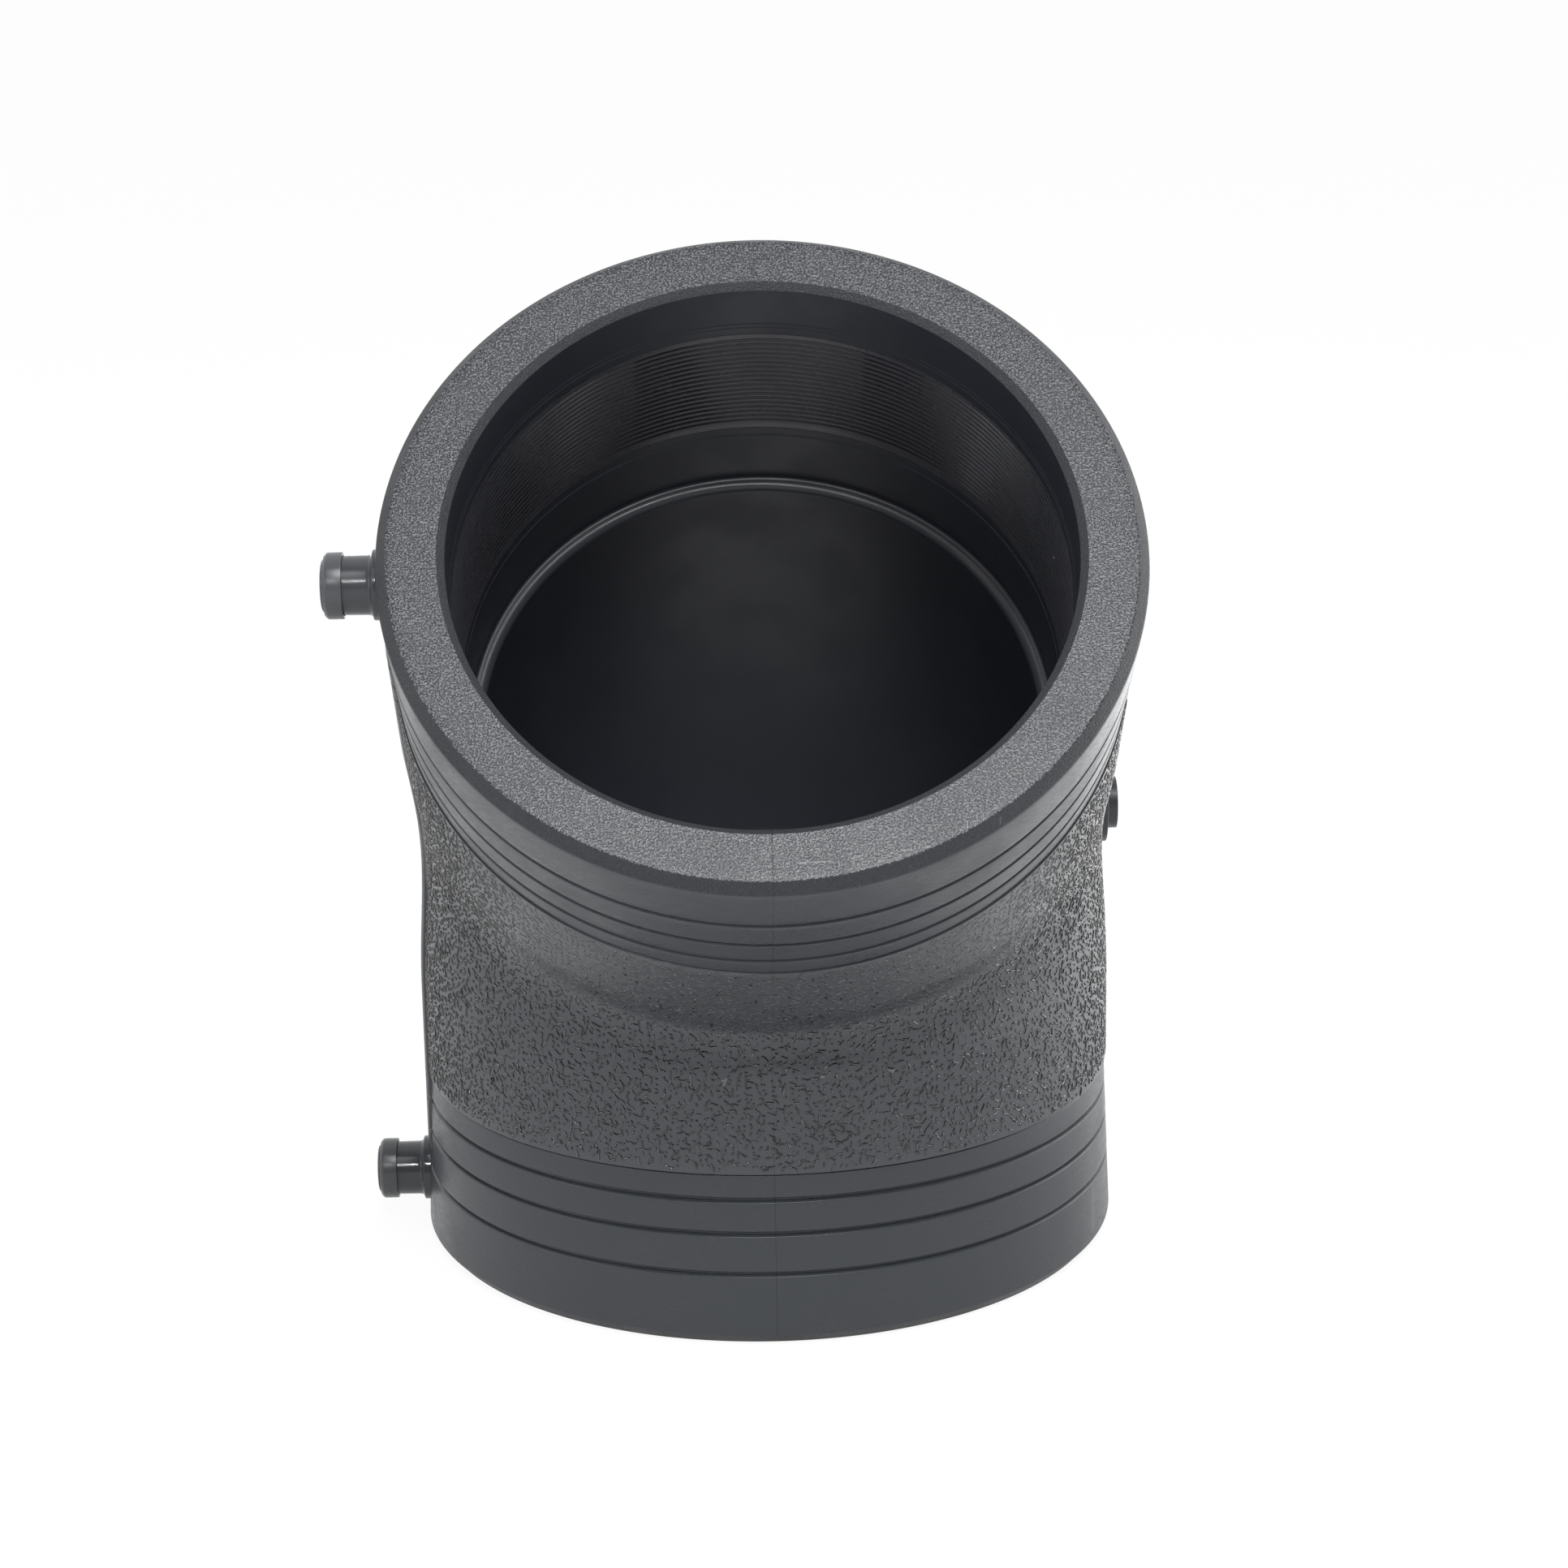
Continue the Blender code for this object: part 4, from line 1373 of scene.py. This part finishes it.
@dataclass
class Winding:
    """Heating wire: a ribbed sleeve in each socket, leads to the pins and a link.

    Attributes:
        line: Centre line of the outside, which the link follows.
        start: Distance where a winding starts.
        pitch: Distance between turns.
        turns: Number of turns of rib.
        crest_radius: Radius of the rib tops.
        rib_height: Height of the ribs.
        thickness: Thickness of the sleeve.
        lead_radius: Radius of a lead.
        lead_distance: Distance of the leads from the axis.
        terminal: Distance of a terminal from its face.
        foot_reach: Distance from a terminal's middle where its lead ends.
        tuck: Distance from a winding's end where a lead or the link leaves it.
        lead_bend: Rounding of a lead's bends.
        link_span: Longest span of the link.
        fade: Share of a turn over which the valleys fade out.
        columns: Points around.
        rows_per_turn: Rows along one rib.
        lead_columns: Points around a lead.
    """

    line: BendLine = OUTSIDE_LINE
    start: float = 20.8 * MM
    pitch: float = 2.11 * MM
    turns: int = 20
    crest_radius: float = 80.82 * MM
    rib_height: float = 0.70 * MM
    thickness: float = 2.1 * MM
    lead_radius: float = 0.9 * MM
    lead_distance: float = 86.2 * MM
    terminal: float = 14.5 * MM
    foot_reach: float = 3.9 * MM
    tuck: float = 1.5 * MM
    lead_bend: float = 2.0 * MM
    link_span: float = 6.0 * MM
    fade: float = 0.4
    columns: int = 256
    rows_per_turn: int = 8
    lead_columns: int = 12

    @property
    def end(self) -> float:
        """Distance where a winding ends."""
        return self.start + (self.turns + 1) * self.pitch

    def depth_share(self) -> Array:
        """Work out the depth below the rib tops over the rib height.

        Rib height is the root of (1 - t squared), where t runs from -1 to 1 across one
        turn and shifts by one turn around the bore, which makes the helix. The valleys
        between the ribs fade out before the first and after the last turn.

        Returns:
            Share by row and column, from 0 on the tops to 1 in the valleys.
        """
        count = (self.turns + 1) * self.rows_per_turn + 1
        distance = np.linspace(self.start, self.end, count)
        turn = around(self.columns)
        phase = (distance[:, None] - self.start) / self.pitch - turn / (2.0 * math.pi)
        across = 2.0 * (phase - np.floor(phase)) - 1.0
        rib = np.sqrt(np.maximum(1.0 - across**2, 0.0))
        inside = smooth_step(phase, 0.0, self.fade)
        inside = inside * smooth_step(phase, self.turns, self.turns - self.fade)
        return (1.0 - rib) * inside

    def crest_share(self) -> Array:
        """Return 1 on the rib tops and 0 in the valleys, for each point of a sleeve."""
        return np.concatenate([1.0 - self.depth_share(), np.ones((2, self.columns))])

    def sleeve(self, upper: bool) -> Array:
        """Work out one ribbed sleeve, inside first and back last.

        Args:
            upper: Whether it is the upper socket's.

        Returns:
            Grid of points, closed in rows and columns.
        """
        share = self.depth_share()
        distance = np.linspace(self.start, self.end, len(share))
        radius = self.crest_radius + self.rib_height * share
        back = np.full((2, self.columns), self.crest_radius + self.thickness)
        radius = np.concatenate([radius, back])
        distance = np.concatenate([distance, [self.end, self.start]])[:, None]
        if upper:
            distance = self.line.length - distance
        return self.line.sweep(distance, around(self.columns), radius)

    def add_lead(self, parts: MeshParts, distance: Array, radius: Array) -> None:
        """Add a closed round bar that runs in the wall on the terminals' side.

        Args:
            parts: Parts to add it to.
            distance: Distance of each station from the lower face.
            radius: Distance of each station from the axis.
        """
        spine = self.line.sweep(distance, math.pi, radius)
        outwards = self.line.places(distance)[1]
        first = unit(np.cross(unit(np.gradient(spine, axis=0)), outwards))
        turn = around(self.lead_columns)[:, None]
        ring = first[:, None] * np.cos(turn) + outwards[:, None] * np.sin(turn)
        grid = spine[:, None] + self.lead_radius * ring
        index = parts.add_grid(grid, inwards=True)
        parts.add_fan(index[0], grid[0].mean(axis=0))
        parts.add_fan(index[-1], grid[-1].mean(axis=0), inwards=True)

    def build(self) -> bpy.types.Object:
        """Make both windings, their leads and the link.

        Returns:
            The object.
        """
        parts = MeshParts()
        parts.add_grid(self.sleeve(upper=False), inwards=True, close_rows=True)
        parts.add_grid(self.sleeve(upper=True), inwards=False, close_rows=True)
        inner = self.crest_radius + 0.5 * self.thickness
        wall = self.lead_distance
        out, back = self.start + self.tuck, self.end - self.tuck
        length = self.line.length
        foot = self.terminal + self.foot_reach
        lead = rounded_profile([(out, inner, 0.0), (out, wall, self.lead_bend), (foot, wall, 0.0)])
        link = [(back, inner, 0.0), (back, wall, self.lead_bend)]
        link += [(length - distance, radius, size) for distance, radius, size in link[::-1]]
        link = fill_spans(rounded_profile(link), self.link_span)
        self.add_lead(parts, lead[:, 0], lead[:, 1])
        self.add_lead(parts, length - lead[:, 0], lead[:, 1])
        self.add_lead(parts, link[:, 0], link[:, 1])
        # The rib share drives painted shade: the wire coat darkens into the valleys between ribs.
        crest = np.ones(parts.count)
        ribs = self.crest_share().ravel()
        crest[: 2 * ribs.size] = np.tile(ribs, 2)
        return parts.build("heating_winding", [WIRE_COAT.build()], crest=crest)


@dataclass
class Terminal:
    """Shroud of one terminal with its collar, and the dust cap on its end.

    Attributes:
        line: Centre line of the outside.
        distance: Distance of the terminal from its face.
        upper: Whether it is the upper socket's.
        collar_radius: Radius of the collar.
        collar_end: Distance of the collar's top from the axis.
        neck_radius: Radius of the shroud.
        neck_end: Distance of the shroud's end from the axis.
        bore_radius: Radius of the shroud's bore.
        floor: Distance of the bore's floor from the axis.
        cap_skirt: Inner radius of the cap's skirt.
        cap_radius: Outer radius of the cap.
        cap_start: Distance of the cap's open edge from the axis.
        cap_top: Distance of the cap's shoulder from the axis.
        head_radius: Radius of the cap's head.
        head_end: Distance of the cap's end from the axis.
        plug_radius: Radius of the cap's plug.
        plug_end: Distance of the plug's end from the axis.
        root: Distance of the collar's hidden foot from the axis.
        floor_hole: Radius of the opening in the floor, where the pin stands.
        longest_span: Longest span of the shroud's profile.
        cap_columns: Points around the cap.
    """

    line: BendLine = OUTSIDE_LINE
    distance: float = 14.5 * MM
    upper: bool = False
    collar_radius: float = 9.2 * MM
    collar_end: float = 100.6 * MM
    neck_radius: float = 7.6 * MM
    neck_end: float = 112.2 * MM
    bore_radius: float = 5.1 * MM
    floor: float = 97.4 * MM
    cap_skirt: float = 7.9 * MM
    cap_radius: float = 8.65 * MM
    cap_start: float = 107.9 * MM
    cap_top: float = 112.9 * MM
    head_radius: float = 6.7 * MM
    head_end: float = 113.8 * MM
    plug_radius: float = 4.8 * MM
    plug_end: float = 109.5 * MM
    root: float = 94.0 * MM
    floor_hole: float = 2.9 * MM
    longest_span: float = 1.5 * MM
    cap_columns: int = 80

    @property
    def suffix(self) -> str:
        """Ending of the names of this terminal's pieces."""
        return "upper" if self.upper else "lower"

    @property
    def origin(self) -> Array:
        """Point on the socket's axis beside the terminal."""
        along = self.line.length - self.distance if self.upper else self.distance
        return self.line.axis_point(along)

    def shroud(self) -> bpy.types.Object:
        """Make the collar and the shroud.

        Returns:
            The object.
        """
        fillet = self.collar_radius - self.neck_radius
        profile = rounded_profile(
            [
                (self.root, self.collar_radius, 0.0),
                (self.collar_end - 0.4 * MM, self.collar_radius, 0.35 * MM),
                (self.collar_end - 0.2 * MM, self.collar_radius - 0.5 * fillet, 0.3 * MM),
                (self.collar_end + 0.3 * MM, self.neck_radius + 0.12 * MM, 0.9 * MM),
                (self.neck_end, self.neck_radius, 0.3 * MM),
                (self.neck_end, self.bore_radius, 0.2 * MM),
                (self.floor, self.bore_radius, 0.2 * MM),
                (self.floor, self.floor_hole, 0.0),
            ],
            steps=5,
        )
        parts = MeshParts()
        parts.add_turned(fill_spans(profile, self.longest_span), self.origin, Side.LEFT)
        return parts.build("body_shroud_" + self.suffix, [GLOSSY.build()])

    def cap(self) -> bpy.types.Object:
        """Make the dust cap.

        Returns:
            The object.
        """
        under = self.neck_end + 0.12 * MM
        profile = rounded_profile(
            [
                (self.plug_end, self.plug_radius, 0.0),
                (under, self.plug_radius, 0.2 * MM),
                (under, self.cap_skirt, 0.1 * MM),
                (self.cap_start, self.cap_skirt, 0.1 * MM),
                (self.cap_start, self.cap_radius, 0.2 * MM),
                (self.cap_top - 0.9 * MM, self.cap_radius, 0.4 * MM),
                (self.cap_top, self.cap_radius - 0.9 * MM, 0.3 * MM),
                (self.cap_top - 0.05 * MM, self.head_radius + 0.3 * MM, 0.12 * MM),
                (self.cap_top - 0.25 * MM, self.head_radius, 0.12 * MM),
                (self.head_end - 0.45 * MM, self.head_radius, 0.2 * MM),
                (self.head_end - 0.15 * MM, self.head_radius - 0.8 * MM, 0.3 * MM),
                (self.head_end, 0.4 * self.head_radius, 0.0),
            ],
            steps=4,
        )
        parts = MeshParts()
        parts.add_turned(profile, self.origin, Side.LEFT, self.cap_columns, closed=(0, -1))
        return parts.build("dust_cap_" + self.suffix, [CAP_PLASTIC.build()])


@dataclass
class GateBoss:
    """Stub of the moulding gate on its flange, at the middle of the bend.

    Attributes:
        line: Centre line of the outside.
        flange_radius: Radius of the flange.
        flange_end: Distance of the flange's face from the axis.
        stub_radius: Radius of the stub.
        stub_end: Distance of the stub's end from the axis.
        root: Distance of the flange's hidden foot from the axis.
    """

    line: BendLine = OUTSIDE_LINE
    flange_radius: float = 11.0 * MM
    flange_end: float = 96.6 * MM
    stub_radius: float = 7.3 * MM
    stub_end: float = 99.7 * MM
    root: float = 93.0 * MM

    def build(self) -> bpy.types.Object:
        """Make the boss.

        Returns:
            The object.
        """
        profile = rounded_profile(
            [
                (self.root, self.flange_radius, 0.0),
                (self.flange_end, self.flange_radius, 0.35 * MM),
                (self.flange_end, self.stub_radius, 0.35 * MM),
                (self.stub_end, self.stub_radius, 0.3 * MM),
                (self.stub_end - 0.3 * MM, self.stub_radius - 1.3 * MM, 0.3 * MM),
                (self.stub_end - 0.35 * MM, 0.6 * MM, 0.0),
            ],
            steps=5,
        )
        origin = self.line.axis_point(self.line.length / 2.0)
        parts = MeshParts()
        parts.add_turned(profile, origin, Side.RIGHT, closed=(-1,))
        return parts.build("body_gate_boss", [SATIN.build()])


@dataclass(frozen=True)
class Softbox:
    """Square area lamp.

    Attributes:
        name: Name of the lamp.
        place: Place of its middle.
        aim: Point that it faces.
        size: Length of its side.
        radiance: Brightness of its face, where 1 is white.
    """

    name: str
    place: tuple[float, float, float]
    aim: tuple[float, float, float]
    size: float
    radiance: float

    def build(self) -> bpy.types.Object:
        """Make the lamp: power = radiance times pi times area.

        Returns:
            The lamp.
        """
        data = bpy.data.lights.new(self.name, "AREA")
        data.shape = "SQUARE"
        data.size = self.size
        data.energy = self.radiance * math.pi * self.size**2
        lamp = link_object(self.name, data)
        back = unit(np.array(self.place) - np.array(self.aim))
        side = unit(np.cross([0.0, 1.0, 0.0] if abs(back[2]) > 0.9 else Z_WAY, back))
        set_axes(lamp, self.place, (side, np.cross(back, side), back))
        lamp.visible_camera = False
        return lamp


@dataclass
class Studio:
    """Pale floor, white surroundings and soft lamps.

    Attributes:
        floor_half: Half width of the floor.
        floor_colour: Colour of the floor.
        floor_white: Share of plain white that the camera sees on the floor.
        floor_level: Strength of that white, which makes up for the share's rest.
        left_painted_glow: Strength of the floor's white in front and left in reflections,
            painted light.
        right_painted_glow: Strength of the floor's white behind and right in reflections,
            a painted pool of light.
        level_way: Way along the floor in which the level rises.
        level_span: Distances along it between which the level rises.
        room: Brightness of the room in front of the object, as it lights the object.
        sweep: Brightness of the white sweep behind it, as it lights the object.
        sweep_span: Values of a direction's Y between the room and the sweep.
        lamps: Soft lamps.
    """

    floor_half: float = 8.0
    floor_colour: float = 0.80
    floor_white: float = 0.86
    floor_level: float = 1.063
    left_painted_glow: float = 0.85
    right_painted_glow: float = 3.00
    level_way: tuple[float, float, float] = (0.8, 0.6, 0.0)
    level_span: tuple[float, float] = (0.08, 0.65)
    room: float = 0.22
    sweep: float = 1.0
    sweep_span: tuple[float, float] = (-0.35, 0.45)
    lamps: tuple[Softbox, ...] = (
        Softbox("overhead", (0.14, -0.82, 1.35), (0.0, 0.0, 0.15), 0.62, 14.0),
        Softbox("front_key", (-0.30, -1.70, 1.15), (0.0, 0.0, 0.15), 0.12, 95.0),
        Softbox("left_side", (-1.20, -0.50, 0.50), (0.0, 0.0, 0.12), 0.6, 2.5),
        Softbox("right_back", (1.00, 0.42, 0.42), (0.0, 0.0, 0.15), 0.8, 2.2),
    )

    def floor(self) -> bpy.types.Object:
        """Make the floor, white to the camera but for the object's soft shadow.

        Returns:
            The floor.
        """
        half = self.floor_half
        corners = [(-half, -half, 0.0), (half, -half, 0.0), (half, half, 0.0), (-half, half, 0.0)]
        mesh = bpy.data.meshes.new("floor")
        mesh.from_pydata(corners, [], [(0, 1, 2, 3)])
        graph = Graph(bpy.data.materials.new("pale_floor"))
        graph.tree.nodes.clear()
        spot = graph.node("NewGeometry", {}).outputs["Position"]
        along = graph.vector("DOT_PRODUCT", spot, self.level_way).outputs["Value"]
        # Painted light: in reflections the floor glows more strongly behind and right, as a pool
        # of lamp light.
        level = graph.ease(along, *self.level_span, self.left_painted_glow, self.right_painted_glow)
        inputs = {"Color": WHITE, "Strength": graph.to_camera(level, self.floor_level)}
        white = graph.node("Emission", inputs)
        matt = graph.node("BsdfDiffuse", {"Color": (self.floor_colour,) * 3 + (1.0,)})
        rays = graph.node("LightPath", {}).outputs
        seen = graph.maths("MAXIMUM", rays["Is Camera Ray"], rays["Is Glossy Ray"])
        seen = graph.maths("MAXIMUM", seen, rays["Is Transmission Ray"])
        share = graph.maths("MULTIPLY", seen, self.floor_white)
        mix = graph.row("MixShader", (share, matt.outputs[0], white.outputs[0]))
        graph.node("OutputMaterial", {"Surface": mix.outputs[0]})
        mesh.materials.append(graph.owner)
        return link_object("floor", mesh)

    def surroundings(self) -> None:
        """Make the world: plain white to the camera, and a room that is dark in front.

        The brightness that lights the object eases with the direction's Y, from the
        room's in front to the sweep's behind.
        """
        world = bpy.data.worlds.new("studio")
        bpy.context.scene.world = world
        graph = Graph(world)
        way = graph.node("TexCoord", {}).outputs["Generated"]
        y = graph.node("SeparateXYZ", {"Vector": way}).outputs["Y"]
        level = graph.ease(y, *self.sweep_span, self.room, self.sweep)
        inputs = {"Color": WHITE, "Strength": graph.to_camera(level, 1.0)}
        graph.dress(graph.tree.nodes["Background"], inputs)

    def build(self) -> None:
        """Make the floor, the world and the lamps."""
        self.floor()
        self.surroundings()
        for lamp in self.lamps:
            lamp.build()


@dataclass(frozen=True)
class PhotographCamera:
    """Camera at the photograph's viewing angle, worked out from its ellipses.

    Attributes:
        place: Place of the lens.
        pan: Turn about Z away from +Y, towards +X.
        tilt: Turn above the horizon.
        roll: Turn about the view.
        focal_pixels: Focal length in pixels of the photograph.
        width_pixels: Width of the photograph in pixels.
        sensor_width: Width of the sensor in millimetres.
        clip: Nearest and farthest distance that it shows.
    """

    place: tuple[float, float, float] = (-8.56 * MM, -1016.01 * MM, 431.90 * MM)
    pan: float = 0.02095
    tilt: float = -0.28254
    roll: float = -0.01704
    focal_pixels: float = 4724.3
    width_pixels: int = 1932
    sensor_width: float = 36.0
    clip: tuple[float, float] = (0.05, 50.0)

    def build(self) -> bpy.types.Object:
        """Make the camera and set it as the scene's.

        Returns:
            The camera.
        """
        level = np.array([math.sin(self.pan), math.cos(self.pan), 0.0])
        ahead = level * math.cos(self.tilt) + Z_WAY * math.sin(self.tilt)
        right = unit(np.cross(ahead, Z_WAY))
        up = np.cross(right, ahead)
        side = math.cos(self.roll) * right + math.sin(self.roll) * up
        top = -math.sin(self.roll) * right + math.cos(self.roll) * up
        data = bpy.data.cameras.new("photograph_camera")
        data.sensor_width = self.sensor_width
        data.sensor_fit = "HORIZONTAL"
        data.lens = self.focal_pixels * self.sensor_width / self.width_pixels
        data.clip_start, data.clip_end = self.clip
        camera = link_object("photograph_camera", data)
        set_axes(camera, self.place, (side, top, -ahead))
        bpy.context.scene.camera = camera
        return camera


def attach(piece: bpy.types.Object, node: str) -> None:
    """Let a piece ride with the part and stand for its CAD node.

    Args:
        piece: The finished piece.
        node: CAD node that it replaces.
    """
    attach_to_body(piece, "root")
    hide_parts(node)
    LOG.info("%s stands for %s with %d faces", piece.name, node, len(piece.data.polygons))


def dress_pins() -> None:
    """Give the CAD pins, whose shape is right, their brass."""
    brass = Brass().build()
    for side in ("lower", "upper"):
        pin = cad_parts["terminal_pin_" + side]
        pin.data.materials.clear()
        pin.data.materials.append(brass)
        LOG.info("%s keeps its CAD shape", pin.name)


def main() -> None:
    """Build every piece, the studio and the camera."""
    logging.basicConfig(level=logging.INFO, format="%(name)s: %(message)s")
    bpy.context.scene.view_settings.view_transform = "Standard"
    body = "elbow_body"
    attach(Outside().build(), body)
    for piece in DashGrain().build():
        attach(piece, body)
    attach(Bore().build(), body)
    attach(Winding().build(), "heating_wire")
    for upper in (False, True):
        terminal = Terminal(upper=upper)
        attach(terminal.shroud(), body)
        attach(terminal.cap(), "terminal_cap_" + terminal.suffix)
    attach(GateBoss().build(), body)
    dress_pins()
    Studio().build()
    PhotographCamera().build()


if __name__ == "__main__":
    main()
